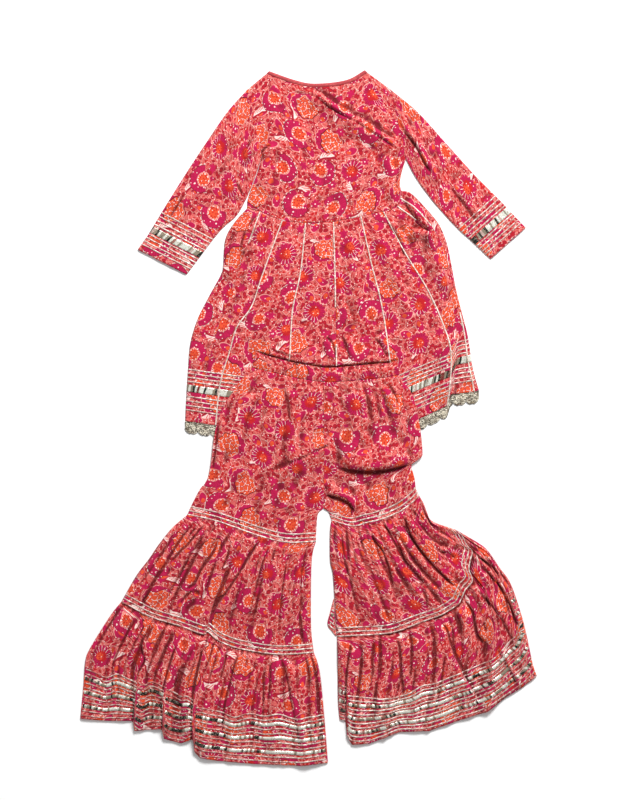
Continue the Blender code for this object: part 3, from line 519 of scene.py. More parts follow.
def uncovered(plan):
    """1 where the kurta's front is free to rise, 0 where the sharara lies on it."""
    x, y = plan[..., 0], plan[..., 1]
    left = np.array([PUFF_LINE[0]] + YOKE_LEFT_EDGE[:10], float)[::-1]
    right = np.array([PUFF_LINE[-1]] + YOKE_RIGHT_EDGE[:7], float)[::-1]
    left_of = np.interp(y, left[:, 1], left[:, 0]) - x
    right_of = x - np.interp(y, right[:, 1], right[:, 0])
    outside = np.maximum(left_of, right_of)
    above = np.clip(1 - (puff_line(x) - y) / PUFF_FALL, 0, 1)
    return np.maximum(above, soft((outside - COVER_MARGIN) / 20))


def fitted(line, start, end):
    """A line with its two ends moved on to given points."""
    line = line.copy()
    line[0] = start
    line[-1] = end
    return line


def drawn_folds(plan, count, crest, half_width, seed, reach=1.0):
    """Small uneven folds that start near the seam above and spread as they fall."""
    u, v = shares(plan)
    draw = np.random.default_rng(seed)
    height = np.zeros(u.shape)
    for number in range(count):
        at_top = (number + 0.5 + draw.uniform(-0.4, 0.4)) / count
        at_foot = at_top + draw.uniform(-0.8, 0.8) / count
        start = draw.uniform(-0.2, 0.25)
        end = start + reach * draw.uniform(0.4, 1.2)
        middle = at_top + (at_foot - at_top) * v
        width = half_width * draw.uniform(0.6, 1.5) * (1 + 1.2 * v)
        fade = soft((v - start) / 0.12) * soft((end - v) / 0.35)
        height = height + crest * draw.uniform(0.3, 1) * fade * np.exp(-(((u - middle) / width) ** 2))
    return height


def creased(plan, folds):
    """Lobes of cloth, each with a sharp groove along the foot of its steep side."""
    grooves = []
    for path, crest, spread_left, spread_right in folds:
        away = spread_left * 1.7 if spread_left < spread_right else -spread_right * 1.7
        foot = moved_aside(smooth(path, 4), away)
        grooves.append((foot, -GROOVE_SHARE * crest, GROOVE_SPREAD, GROOVE_SPREAD))
    return ridges(plan, folds) + ridges(plan, grooves)


def wrinkles(plan, size, height, seed):
    """Low uneven waves over a whole sheet, of about the given size."""
    draw = np.random.default_rng(seed)
    x, y = plan[..., 0], plan[..., 1]
    total = np.zeros(x.shape)
    for _ in range(WAVES):
        turn = draw.uniform(0, 2 * np.pi)
        wave = size * draw.uniform(0.6, 1.8)
        phase = draw.uniform(0, 2 * np.pi)
        bend = 0.6 * np.sin((x * np.sin(turn) - y * np.cos(turn)) / (2.3 * wave) + phase)
        total = total + np.sin(2 * np.pi * (x * np.cos(turn) + y * np.sin(turn)) / wave + phase + bend)
    return height * total / np.sqrt(WAVES)


def limited(height):
    """Heights that level off below the most that a fold may rise."""
    return np.where(height > 0, HIGHEST_FOLD * np.tanh(height / HIGHEST_FOLD), height)


def edge_distances(plan):
    """Distance of each point of a sheet to its left and right edges, measured along its row."""
    steps = np.linalg.norm(np.diff(plan, axis=1), axis=2)
    run = np.concatenate([np.zeros((len(plan), 1)), np.cumsum(steps, axis=1)], axis=1)
    return run, run[:, -1:] - run


def rounded(distance, reach=EDGE_REACH):
    """0 at an edge, 1 from reach on, and round in between, as folded cloth is."""
    t = np.clip(distance / reach, 0, 1)
    return np.sqrt(1 - (1 - t) ** 2)


def round_sides(plan, left=True, right=True):
    from_left, from_right = edge_distances(plan)
    factor = np.ones(plan.shape[:2])
    if left:
        factor = factor * rounded(from_left)
    if right:
        factor = factor * rounded(from_right)
    return factor


def edge_shares(width, step=STEP):
    """Places across a sheet, from 0 to 1, that lie closer together near both edges."""
    close = np.array([0.4, 1.2, 2.4, 4.0]) / width
    even = np.linspace(0, 1, max(int(round(width / step)), 6) + 1)
    even = even[(even == 0) | (even == 1) | ((even > close[-1] * 1.2) & (even < 1 - close[-1] * 1.2))]
    return np.unique(np.concatenate([even, close, 1 - close]))


def at_shares(line, places):
    line = np.array(line, float)
    return points_at(line, lengths(line)[-1] * np.asarray(places))


def even_shares(length, step=STEP):
    return np.linspace(0, 1, int(round(length / step)) + 1)


def raised(plan, z):
    """Plan points with their heights."""
    return np.concatenate([plan, np.broadcast_to(z, plan.shape[:2])[..., None]], axis=2)


def print_places(points, turn, shift):
    """Where each point of a sheet lies on the printed cloth, in millimetres, before it was folded."""
    across = np.linalg.norm(np.diff(points, axis=1), axis=2)
    down = np.linalg.norm(np.diff(points, axis=0), axis=2)
    middle = points.shape[1] // 2
    u = np.concatenate([np.zeros((len(points), 1)), np.cumsum(across, axis=1)], axis=1)
    u = u - u[:, middle : middle + 1]
    v = np.concatenate([np.zeros((1, points.shape[1])), np.cumsum(down, axis=0)], axis=0)
    v = -np.broadcast_to(v.mean(axis=1, keepdims=True), u.shape)
    x = u * np.cos(turn) - v * np.sin(turn) + shift[0]
    y = u * np.sin(turn) + v * np.cos(turn) + shift[1]
    return np.stack([x, y], axis=2)


def closed(ring):
    """A ring of columns with its first one repeated at the end."""
    return np.concatenate([ring, ring[:, :1]], axis=1)


def grid_faces(rows, columns):
    """The four corners of each square in a grid of points that are numbered row by row."""
    grid = np.arange(rows * columns).reshape(rows, columns)
    corners = [grid[:-1, :-1], grid[1:, :-1], grid[1:, 1:], grid[:-1, 1:]]
    return np.stack(corners, axis=2).reshape(-1, 4)


def dips(heights, reach=4):
    """How far each point of a sheet lies below the mean of those around it."""
    padded = np.pad(heights, reach, mode="edge")
    around = np.lib.stride_tricks.sliding_window_view(padded, (2 * reach + 1, 2 * reach + 1))
    return np.clip(around.mean(axis=(2, 3)) - heights, 0, None)


def mesh_of(name, points, places):
    """A mesh over a grid of points; it closes into a ring where there is one more column of places."""
    rows, columns = points.shape[:2]
    corners = grid_faces(rows, places.shape[1])
    row, column = np.divmod(corners, places.shape[1])
    faces = row * columns + column % columns
    mesh = bpy.data.meshes.new(name)
    mesh.from_pydata((points.reshape(-1, 3) * MM).tolist(), [], faces.tolist())
    layer = mesh.uv_layers.new(name="cloth")
    layer.data.foreach_set("uv", (places.reshape(-1, 2) * MM)[corners.reshape(-1)].reshape(-1))
    # How far each point dips below those around it, which printed_cotton turns into painted shade
    shade = mesh.attributes.new("dip", "FLOAT", "POINT")
    shade.data.foreach_set("value", dips(points[..., 2]).reshape(-1))
    mesh.shade_smooth()
    return mesh


def added(name, mesh, material, nodes=()):
    """A piece in the scene that rides on the set and stands for the given solids."""
    mesh.materials.append(material)
    piece = bpy.data.objects.new(name, mesh)
    bpy.context.scene.collection.objects.link(piece)
    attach(piece, "root")
    if nodes:
        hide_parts(*nodes)
    return piece


def thickened(piece, thickness=SHELL):
    shell = piece.modifiers.new("thickness", "SOLIDIFY")
    shell.thickness = thickness * MM
    shell.offset = -1
    return piece


def cloth(name, points, turn, shift, looks, node, look="printed_cotton", ring=False):
    """A shell of cloth over a grid of points, cut from the print at a turn and a shift."""
    places = print_places(closed(points) if ring else points, turn, shift)
    return thickened(added(name, mesh_of(name, points, places), looks[look], [node]))


def joined_strips(name, strips, material, nodes=(), backwards=False):
    """One piece made of several ribbons, each a grid of points that runs along its columns."""
    vertices, faces, spots = [], [], []
    for strip in strips:
        corners = grid_faces(*strip.shape[:2])
        faces.extend((corners + len(vertices)).tolist())
        vertices.extend((strip.reshape(-1, 3) * MM).tolist())
        run, across = lengths(strip[0]), lengths(strip[:, 0])
        if backwards:
            run = run[-1] - run
        # Each ribbon is cut from another part of its look, so that no two lines have the same patches
        places = np.stack(np.meshgrid(run, across + 40 * len(vertices) % 977), axis=2)
        spots.extend(places.reshape(-1, 2)[corners.reshape(-1)] * MM)
    mesh = bpy.data.meshes.new(name)
    mesh.from_pydata(vertices, [], faces)
    mesh.uv_layers.new(name="cloth").data.foreach_set("uv", np.array(spots).reshape(-1))
    mesh.shade_smooth()
    return thickened(added(name, mesh, material, nodes), RIBBON_THICKNESS)


def strip_across(points, distance, width, rows=3):
    """A ribbon across a sheet of cloth points, at a distance above the sheet's foot."""
    steps = np.linalg.norm(np.diff(points[::-1, :, :2], axis=0), axis=2)
    run = np.concatenate([np.zeros((1, points.shape[1])), np.cumsum(steps, axis=0)])
    spread = np.linspace(distance + width / 2, distance - width / 2, rows)
    strip = np.empty((rows, points.shape[1], 3))
    for column, axis in np.ndindex(points.shape[1], 3):
        strip[:, column, axis] = np.interp(spread, run[:, column], points[::-1, column, axis])
    strip[..., 2] += RIBBON_LIFT
    return strip


def surface_of(points):
    """The cloth's visible side, ready to be asked for its height at any place."""
    return BVHTree.FromPolygons(points.reshape(-1, 3).tolist(), grid_faces(*points.shape[:2]).tolist())


def strip_on(surface, line, width):
    """A ribbon that lies on the cloth along a line seen from above; it ends where the cloth ends."""
    spread = np.linspace(width / 2, -width / 2, 3)
    plan = np.stack([moved_aside(line, aside) for aside in spread])
    heights = np.full(plan.shape[:2], np.nan)
    for row, column in np.ndindex(heights.shape):
        hit = surface.ray_cast(Vector((*plan[row, column], 60)), Vector((0, 0, -1)))[0]
        if hit is not None:
            heights[row, column] = hit.z + RIBBON_LIFT
    found = ~np.isnan(heights).any(axis=0)
    return raised(plan[:, found], heights[:, found])


def between(hem, top, share, step=2.5):
    """A line between two lines whose points match, at a share of the way from the first to the second."""
    hem, top = smooth(hem, 12), smooth(top, 12)
    line = hem + (top - hem) * share
    return at_shares(line, even_shares(lengths(line)[-1], step))


def strip_along(line, width):
    """A narrow rounded cord along a line of cloth points."""
    sides = [moved_aside(line[:, :2], width * share) for share in (-0.5, -0.25, 0, 0.25, 0.5)]
    heights = [line[:, 2] + PIPING_RISE * (1 + rise) for rise in (-1, 0.7, 1, 0.7, -1)]
    return np.stack([np.column_stack([xy, z]) for xy, z in zip(sides, heights)])


def kurta_height(plan):
    """Height of the visible side of the kurta's front."""
    x, y = plan[..., 0], plan[..., 1]
    above = y - puff_line(x)
    ends = soft((x - PUFF_LINE[0][0] + 10) / 40) * soft((PUFF_LINE[-1][0] + 10 - x) / 40)
    roll = rounded(np.clip(above + 0.5, 0, None), reach=9.0)
    puff = PUFF_HEIGHT * ends * np.exp(-((np.clip(above, 0, None) / PUFF_REACH) ** 2)) * (0.35 + 0.65 * roll)
    small = wrinkles(plan, size=34, height=0.6, seed=3)
    folds = ridges(plan, KURTA_FOLDS) + creased(plan, KURTA_CREASES)
    return FRONT_HEIGHT + (folds + puff + small) * uncovered(plan)


def tucked(points):
    """The puff's lower edge rolls over and back under itself above the waistband."""
    points = points.copy()
    x, y = points[..., 0], points[..., 1]
    below = (puff_line(x) - y) / PUFF_FALL
    inside = (below > 0) & (below < 1)
    ends = soft((x - PUFF_LINE[0][0] + 6) / 25) * soft((PUFF_LINE[-1][0] + 6 - x) / 25)
    uneven = TUCK + 1.6 * np.sin(x / 9) + 1.2 * np.sin(x / 23 + 1)
    rolled = y + ends * uneven * np.sin(np.pi * np.clip(below, 0, 1)) ** 0.8
    points[..., 1] = np.where(inside, rolled, y)
    return points


def skirt_grid():
    """The whole front skirt as one grid, and the columns where each panel starts and ends."""
    rows = even_shares(440, 2.6)
    seams = [at_shares(smooth(seam, 14), rows) for seam in SKIRT_SEAMS]
    sheets, starts = [], [0]
    for left, right in zip(seams, seams[1:]):
        width = np.linalg.norm(right - left, axis=1).max()
        spans = max(int(round(width / STEP)), 5)
        sheets.extend(left + (right - left) * step / spans for step in range(spans))
        starts.append(starts[-1] + spans)
    plan = np.stack(sheets + [seams[-1]], axis=1)
    factor = round_sides(plan)
    points = raised(plan, EDGE_HEIGHT + (kurta_height(plan) - EDGE_HEIGHT) * factor)
    return tucked(points), starts


def skirt(looks):
    """The nine front panels with their piping and ribbons, the back and the lace."""
    points, starts = skirt_grid()
    for number, (start, end) in enumerate(zip(starts, starts[1:]), start=1):
        part = points[:, start : end + 1]
        axis = part[-1, :, :2].mean(axis=0) - part[0, :, :2].mean(axis=0)
        turn = np.arctan2(-axis[0], -axis[1])
        cloth(f"skirt_front_{number}", part, turn, PANEL_SHIFTS[number - 1], looks, f"skirt_panel_{number}")
    piping = []
    for column, shown in zip(starts[1:-1], PIPING_ROWS):
        for first, last in shown:
            rows = slice(int(first * len(points)), int(last * len(points)))
            piping.append(strip_along(points[rows, column], PIPING_WIDTH))
    joined_strips("seam_piping", piping, looks["piping"])
    lines = [strip_across(points, height, LINE_WIDTH) for height in HEM_LINES]
    joined_strips("hem_gota_lines", lines, looks["gota_line"])
    wide = strip_across(points, HEM_GOTA_HEIGHT, WIDE_GOTA, rows=7)
    joined_strips("hem_gota_wide", [wide], looks["mirror_gota"], ["hem_gota"])
    back = raised(points[::BACK_STEP, ::3, :2], BACK_HEIGHT)
    cloth("skirt_back_cloth", back, 0.3, (400, 100), looks, "skirt_back")
    lace(points[-1], looks)
    return points


def bodice(waist, looks):
    """Front and back, from the shoulder tips and the neck down to the skirt's waist, and the binding."""
    places = edge_shares(300)
    rows = even_shares(250)
    top = at_shares(np.vstack([[LEFT_SHOULDER_TIP], smooth(NECK_SEAM, 16), [RIGHT_SHOULDER_TIP]]), places)
    foot = at_shares(waist, places)
    left_seam = smooth(LEFT_SIDE_SEAM[:-1] + [tuple(waist[0])])
    right_seam = smooth(RIGHT_SIDE_SEAM[:-1] + [tuple(waist[-1])])
    left = at_shares(np.vstack([[LEFT_SHOULDER_TIP], left_seam]), rows)
    right = at_shares(np.vstack([[RIGHT_SHOULDER_TIP], right_seam]), rows)
    plan = patch(top, foot, left, right)
    below_armhole = soft((ARMHOLE_FOOT - plan[..., 1]) / 20)
    factor = 1 - (1 - round_sides(plan)) * below_armhole
    near_neck = 0.35 + 0.65 * soft(shares(plan)[1] / 0.12)
    height = EDGE_HEIGHT + (kurta_height(plan) - EDGE_HEIGHT) * factor
    height = FRONT_HEIGHT + (height - FRONT_HEIGHT) * near_neck
    cloth("bodice_front_cloth", raised(plan, height), 0.0, (37, 12), looks, "bodice_front")
    back = raised(plan[::BACK_STEP, ::BACK_STEP], BACK_HEIGHT)
    cloth("bodice_back_cloth", back, 0.0, (350, 300), looks, "bodice_back")
    neck_binding(looks)


def neck_binding(looks):
    """A strip rolled over the neck's edge: each row of its section is a share of its width and a height."""
    places = even_shares(210, 2.0)
    outer = at_shares(smooth(NECK_EDGE, 16), places)
    inner = at_shares(smooth(NECK_SEAM, 16), places)
    section = [(0.0, 2.0), (0.12, 3.6), (0.35, 4.3), (0.65, 4.4), (0.9, 3.9), (1.02, 3.2),
               (0.95, 1.2), (0.5, 0.7), (0.1, 0.8)]
    ring = np.stack([raised((outer + (inner - outer) * share)[None], z)[0] for share, z in section], axis=1)
    cloth("neck_binding_cloth", ring, 0.0, (500, 20), looks, "neck_binding", look="plain_binding", ring=True)


def tube_shell(name, plan, top_height, base, looks, node, turn, shift):
    """A flattened tube: its visible side, which is given back, carries the folds; the other lies flat."""
    low = base + BACK_HEIGHT
    top = raised(plan, low + 0.8 + (top_height - low - 0.8) * round_sides(plan))
    under = raised(plan[:, -2:0:-BACK_STEP], low)
    cloth(name, np.concatenate([top, under], axis=1), turn, shift, looks, node, ring=True)
    return top


def sleeve(side, tip, armpit, outer, inner, looks, turn, shift):
    """A flattened tube from the shoulder to the cuff, with the cuff's ribbons."""
    rows = even_shares(330)
    far = at_shares(smooth([tip] + outer, 14), rows)
    near = at_shares(smooth([armpit] + inner, 14), rows)
    left, right = (far, near) if side == "left" else (near, far)
    width = np.linalg.norm(right - left, axis=1).mean()
    plan = left[:, None] + (right - left)[:, None] * edge_shares(width)[None, :, None]
    start = soft(shares(plan)[1] / 0.12)
    rise = ridges(plan, SLEEVE_FOLDS) + creased(plan, SLEEVE_CREASES)
    rise = rise + wrinkles(plan, size=40, height=0.6, seed=5)
    height = FRONT_HEIGHT + (TUBE_TOP - FRONT_HEIGHT + rise) * start
    top = tube_shell(f"sleeve_{side}_cloth", plan, height, 0.0, looks, f"sleeve_{side}", turn, shift)
    lines = [strip_across(top, reach, LINE_WIDTH) for reach in CUFF_LINES]
    joined_strips(f"cuff_lines_{side}", lines, looks["gota_line"])
    wide = strip_across(top, CUFF_GOTA_HEIGHT, WIDE_GOTA, rows=7)
    joined_strips(f"cuff_gota_wide_{side}", [wide], looks["mirror_gota"], [f"cuff_gota_{side}"])


def sharara_base(plan):
    """The sharara lies on the kurta, and comes down to the floor below the kurta's hem."""
    return SHARARA_LIFT * soft((plan[..., 1] - SHARARA_DOWN) / 80)


def waistband(looks):
    """A gathered tube that is higher in its middle than along its two seams."""
    places = edge_shares(300, 2.0)
    top = at_shares(smooth([(x, y - 2.0) for x, y in PUFF_LINE], 14), places)
    bottom = at_shares(smooth(WAIST_SEAM, 14), places)
    plan = top + (bottom - top) * np.linspace(0, 1, 15)[:, None, None]
    rise = sum(drawn_folds(plan, *row) for row in WAIST_GATHERS)
    arch = np.sin(np.pi * shares(plan)[1])
    height = SHARARA_LIFT + 1.8 + (rise + 1.2 * arch) * (0.55 + 0.45 * arch)
    tube_shell("waistband_cloth", plan, height, SHARARA_LIFT, looks, "waistband", 0.0, (60, 60))


def yoke(side, waist, outer_edge, inseam, seam, looks, seed, shift):
    """Front and back of one leg's upper part."""
    rows = even_shares(300)
    inner = at_shares(np.vstack([smooth(CENTRE_SEAM), smooth(inseam)[1:]]), rows)
    outer = at_shares(smooth(outer_edge, 14), rows)
    left, right = (outer, inner) if side == "left" else (inner, outer)
    places = edge_shares(200)
    top = at_shares(waist, places)
    foot = at_shares(smooth(seam, 14), places)
    plan = patch(top, foot, fitted(left, top[0], foot[0]), fitted(right, top[-1], foot[-1]))
    rise = ridges(plan, YOKE_FOLDS) + creased(plan, YOKE_CREASES)
    rise = rise + drawn_folds(plan, *YOKE_LONG_GATHERS, seed, reach=0.5) + wrinkles(plan, 36, 0.6, seed + 1)
    rise = limited(rise + drawn_folds(plan, *YOKE_SHORT_GATHERS, seed + 2, reach=0.2))
    base = sharara_base(plan)
    factor = round_sides(plan, left=side == "left", right=side == "right")
    below_fork = soft((FORK - plan[..., 1]) / 15)
    factor = factor * (1 - below_fork * (1 - round_sides(plan)))
    ends = 0.25 + 0.75 * soft(shares(plan)[1] / 0.06)
    points = raised(plan, base + EDGE_HEIGHT + (FRONT_HEIGHT - EDGE_HEIGHT + rise * ends) * factor)
    flat = raised(plan, base + BACK_HEIGHT)[::BACK_STEP, ::BACK_STEP]
    cloth(f"yoke_{side}_cloth", points, 0.0, shift, looks, f"yoke_front_{side}")
    cloth(f"yoke_{side}_back_cloth", flat, 0.0, (shift[0] + 300, shift[1]), looks, f"yoke_back_{side}")
    lines = [strip_across(points, height, LINE_WIDTH) for height in SEAM_LINES]
    joined_strips(f"yoke_lines_{side}", lines, looks["gota_line"])


def tier(name, top_seam, foot, left_edge, right_edge, table, creases, looks, shift, hem=None):
    """One gathered tier of a leg, as a flattened tube; hem holds the lobes of the lowest one."""
    top_line = np.array(top_seam, float) if hem else smooth(top_seam, 14)
    bottom_line = np.array(foot, float) if hem else smooth(foot, 14)
    width = (lengths(top_line)[-1] + lengths(bottom_line)[-1]) / 2
    places = edge_shares(width, 2.0)
    rows = even_shares(lengths(np.array(left_edge, float))[-1], 3.0)
    top, bottom = at_shares(top_line, places), at_shares(bottom_line, places)
    left = fitted(at_shares(smooth(left_edge), rows), top[0], bottom[0])
    right = fitted(at_shares(smooth(right_edge), rows), top[-1], bottom[-1])
    plan = patch(top, bottom, left, right)
    small = sum(drawn_folds(plan, *row) for row in TIER_FOLDS[name])
    rise = PLEAT_SHARE * pleats(plan, table) + GATHER_SHARE * small + creased(plan, creases)
    rise = limited(rise + wrinkles(plan, 30, 0.5, seed=9))
    start = 0.12 + 0.88 * soft(shares(plan)[1] / 0.07)
    height = FRONT_HEIGHT + (TUBE_TOP - FRONT_HEIGHT + rise) * start
    top = tube_shell(f"{name}_cloth", plan, height, 0.0, looks, name, 0.0, shift)
    if hem:
        striped(name, top, hem, LEG_NARROW, LEG_WIDE, LEG_ZONE, looks["leg_line"], looks["leg_gota"])
    else:
        lines = [strip_across(top, reach, LINE_WIDTH) for reach in SEAM_LINES]
        joined_strips(f"{name}_lines", lines, looks["gota_line"])


def striped(name, points, lobes, narrow, wide, zone, line, gota):
    """Ribbon lines over a sheet of cloth, lobe by lobe, at heights above the hem."""
    surface = surface_of(points)
    for title, reaches, width, look in (
        ("lines", narrow, LINE_WIDTH, line),
        ("wide_lines", wide, LEG_WIDE_WIDTH, gota),
    ):
        paths = [between(*lobe, reach / zone) for lobe in lobes for reach in reaches]
        strips = [strip_on(surface, path, width) for path in paths]
        strips = [strip for strip in strips if strip.shape[1] > 1]
        joined_strips(f"{name}_{title}", strips, look, backwards="right" in name)


def turned_corner(looks):
    """The corner of the right leg's back hem, which is turned up beside the leg."""
    edges = np.stack([smooth(CORNER_OUTER, 8), smooth(CORNER_INNER, 8)], axis=1)
    plan = edges[:, :1] + (edges[:, 1:] - edges[:, :1]) * np.linspace(0, 1, 5)[None, :, None]
    points = raised(plan, 1.6)
    cloth("back_hem_corner_cloth", points, 0.4, (12, 400), looks, "back_hem_corner")
    striped("back_hem_corner", points, [CORNER_LOBE], CORNER_LINES, CORNER_WIDE_LINES, CORNER_ZONE,
            looks["gota_line"], looks["mirror_gota"])


def lace_net(name, hem, height, look, node):
    """A strip of metallic net that hangs from the hem and ends in shallow scallops."""
    x = np.linspace(hem[0, 0], hem[-1, 0], SCALLOPS * 12 + 1)
    y = np.interp(x, hem[:, 0], hem[:, 1])
    place = np.linspace(0, SCALLOPS, len(x)) % 1
    bumps = np.abs(np.sin(2 * np.pi * place)) ** 0.6
    depth = LACE_SHALLOW + (LACE_DEEP - LACE_SHALLOW) * np.sin(np.pi * place) ** 0.6 * (0.7 + 0.3 * bumps)
    share = np.linspace(0, 1, 9)[:, None]
    plan = np.stack([np.broadcast_to(x, (9, len(x))), y - depth * share], axis=2)
    run = np.broadcast_to(x - x[0], (9, len(x)))
    mesh = mesh_of(name, raised(plan, height), np.stack([run, depth * share], axis=2))
    thickened(added(name, mesh, look, [node]), NET_THICKNESS)


def lace(hem, looks):
    """A scalloped edging: a net with rings, fans and arcs of thicker metallic thread on it."""
    lace_net("hem_lace_back_net", hem, 0.6, looks["lace_net"], "hem_lace_back")
    lace_net("hem_lace_net", hem, 2.0, looks["lace_net"], "hem_lace_front")
    starts = np.linspace(hem[0, 0], hem[-1, 0], 2 * SCALLOPS + 1)
    paths = []
    for middle in (starts[:-1] + starts[1:]) / 2:
        edge = np.interp(middle, hem[:, 0], hem[:, 1])
        for turn in np.linspace(0.2, np.pi - 0.2, 6):
            way = np.array([-np.cos(turn), -np.sin(turn)])
            ray = np.array([middle, edge - 7]) + np.outer(np.linspace(0.3, 1, 3), way * [5.0, 8.0])
            paths.append(np.column_stack([ray, np.full(3, THREAD_HEIGHT)]))
            paths.append(thread_ring(np.array([middle, edge - 11]) + way * [5.4, 8.5], 1.4, THREAD_HEIGHT))
        paths.append(thread_ring((middle, edge - 8), 3.6, THREAD_HEIGHT + 0.1))
    for depth in (0.5, 3.8):
        drop = depth + 0.9 * (np.arange(len(hem)) % 2)
        paths.append(np.column_stack([hem[:, 0], hem[:, 1] - drop, np.full(len(hem), THREAD_HEIGHT)]))
    threads("hem_lace_threads", paths, THREAD_RADIUS, looks["metallic_lace"])


def thread_ring(centre, radius, height):
    turn = np.linspace(0, 2 * np.pi, 7)
    x = centre[0] + radius * np.cos(turn)
    y = centre[1] + radius * np.sin(turn)
    return np.column_stack([x, y, np.full(7, height)])


def threads(name, paths, radius, material):
    """One piece made of round threads along the given paths."""
    curve = bpy.data.curves.new(name, "CURVE")
    curve.dimensions = "3D"
    curve.bevel_depth = radius * MM
    curve.bevel_resolution = 0
    for path in paths:
        spline = curve.splines.new("POLY")
        spline.points.add(len(path) - 1)
        spline.points.foreach_set("co", np.column_stack([path * MM, np.ones(len(path))]).reshape(-1))
    guide = bpy.data.objects.new(name, curve)
    bpy.context.scene.collection.objects.link(guide)
    graph = bpy.context.evaluated_depsgraph_get()
    mesh = bpy.data.meshes.new_from_object(guide.evaluated_get(graph))
    bpy.data.objects.remove(guide)
    mesh.materials.clear()
    return added(name, mesh, material)


class Value:
    """A number that varies over a surface: one output in a material's node tree."""

    def __init__(self, tree, socket):
        self.tree = tree
        self.socket = socket

    def math(self, operation, *others, clamp=False):
        node = self.tree.nodes.new("ShaderNodeMath")
        node.operation = operation
        node.use_clamp = clamp
        for item, slot in zip((self,) + others, node.inputs):
            plug(self.tree, item, slot)
        return Value(self.tree, node.outputs[0])

    def __add__(self, other):
        return self.math("ADD", other)

    def __sub__(self, other):
        return self.math("SUBTRACT", other)

    def __mul__(self, other):
        return self.math("MULTIPLY", other)

    def __truediv__(self, other):
        return self.math("DIVIDE", other)

    def sine(self):
        return self.math("SINE")

    def floor(self):
        return self.math("FLOOR")

    def over(self, limit):
        return self.math("GREATER_THAN", limit)

    def under(self, limit):
        return self.math("LESS_THAN", limit)

    def below(self, limit, softness=0.8):
        """1 where the number is under a limit, 0 where it is over it, with a soft edge."""
        return (self * (-1 / softness) + limit / softness).math("ADD", 0.5, clamp=True)


def plug(tree, item, slot):
    """Joins a value to a socket, or sets the socket where the value is a plain number."""
    if isinstance(item, Value):
        tree.links.new(item.socket, slot)
    else:
        slot.default_value = item


def vector(tree, x, y, z=0.0):
    node = tree.nodes.new("ShaderNodeCombineXYZ")
    for item, slot in zip((x, y, z), node.inputs):
        plug(tree, item, slot)
    return node.outputs[0]


def distance(x, y):
    return (x * x + y * y).math("SQRT")


def turned(x, y, angle):
    cosine, sine = angle.math("COSINE"), angle.sine()
    return x * cosine + y * sine, y * cosine - x * sine


def noise(tree, x, y, size, seed=0.0, detail=1.0):
    """Soft noise from about 0.2 to 0.8, with patches of a size in millimetres."""
    node = tree.nodes.new("ShaderNodeTexNoise")
    tree.links.new(vector(tree, x, y, seed), node.inputs["Vector"])
    node.inputs["Scale"].default_value = 1 / size
    node.inputs["Detail"].default_value = detail
    return Value(tree, node.outputs["Fac"])


def scattered(tree, x, y, size, feature, disorder=0.8):
    """Distance to the nearest of many scattered points, or to the edge between two, in millimetres."""
    node = tree.nodes.new("ShaderNodeTexVoronoi")
    node.voronoi_dimensions = "2D"
    node.feature = feature
    node.inputs["Randomness"].default_value = disorder
    tree.links.new(vector(tree, x, y), node.inputs["Vector"])
    node.inputs["Scale"].default_value = 1 / size
    return Value(tree, node.outputs["Distance"]) * size


def cells(tree, x, y, width, height, jitter, seed):
    """Place within a brick lattice's cell, turned at random, and two random numbers for each cell."""
    row = (y / height).floor()
    along = x / width + row * 0.5
    column = along.floor()
    first, second, third = random_numbers(tree, column, row, seed)
    inner_x = (along - column - 0.5) * width + (first - 0.5) * jitter
    inner_y = (y / height - row - 0.5) * height + (second - 0.5) * jitter
    return *turned(inner_x, inner_y, third * (2 * np.pi)), first, second


def linear(colour):
    """A screen colour as the linear one that a shader takes."""
    values = [c / 12.92 if c <= 0.04045 else ((c + 0.055) / 1.055) ** 2.4 for c in colour]
    return (*values, 1.0)


class Paint:
    """A colour that is built up in layers, each laid over those before where its mask is 1."""

    def __init__(self, tree, colour):
        self.tree = tree
        self.socket = None
        self.start = linear(colour)

    def over(self, colour, mask, blend="MIX"):
        node = self.tree.nodes.new("ShaderNodeMix")
        node.data_type = "RGBA"
        node.blend_type = blend
        if self.socket is None:
            node.inputs["A"].default_value = self.start
        else:
            self.tree.links.new(self.socket, node.inputs["A"])
        node.inputs["B"].default_value = linear(colour)
        plug(self.tree, mask, node.inputs["Factor"])
        self.socket = node.outputs["Result"]

    def colours(self, shader):
        self.tree.links.new(self.socket, shader.inputs["Base Color"])


def cloth_places(tree):
    """The place on the flat cloth, in millimetres."""
    node = tree.nodes.new("ShaderNodeUVMap")
    node.uv_map = "cloth"
    return in_millimetres(tree, node.outputs["UV"])


def in_millimetres(tree, place):
    split = tree.nodes.new("ShaderNodeSeparateXYZ")
    tree.links.new(place, split.inputs[0])
    return Value(tree, split.outputs["X"]) * (1 / MM), Value(tree, split.outputs["Y"]) * (1 / MM)


def random_numbers(tree, x, y, seed):
    """Three random numbers from 0 to 1 that are the same wherever x and y are."""
    node = tree.nodes.new("ShaderNodeTexWhiteNoise")
    tree.links.new(vector(tree, x, y, seed), node.inputs["Vector"])
    split = tree.nodes.new("ShaderNodeSeparateColor")
    tree.links.new(node.outputs["Color"], split.inputs["Color"])
    return [Value(tree, socket) for socket in split.outputs]


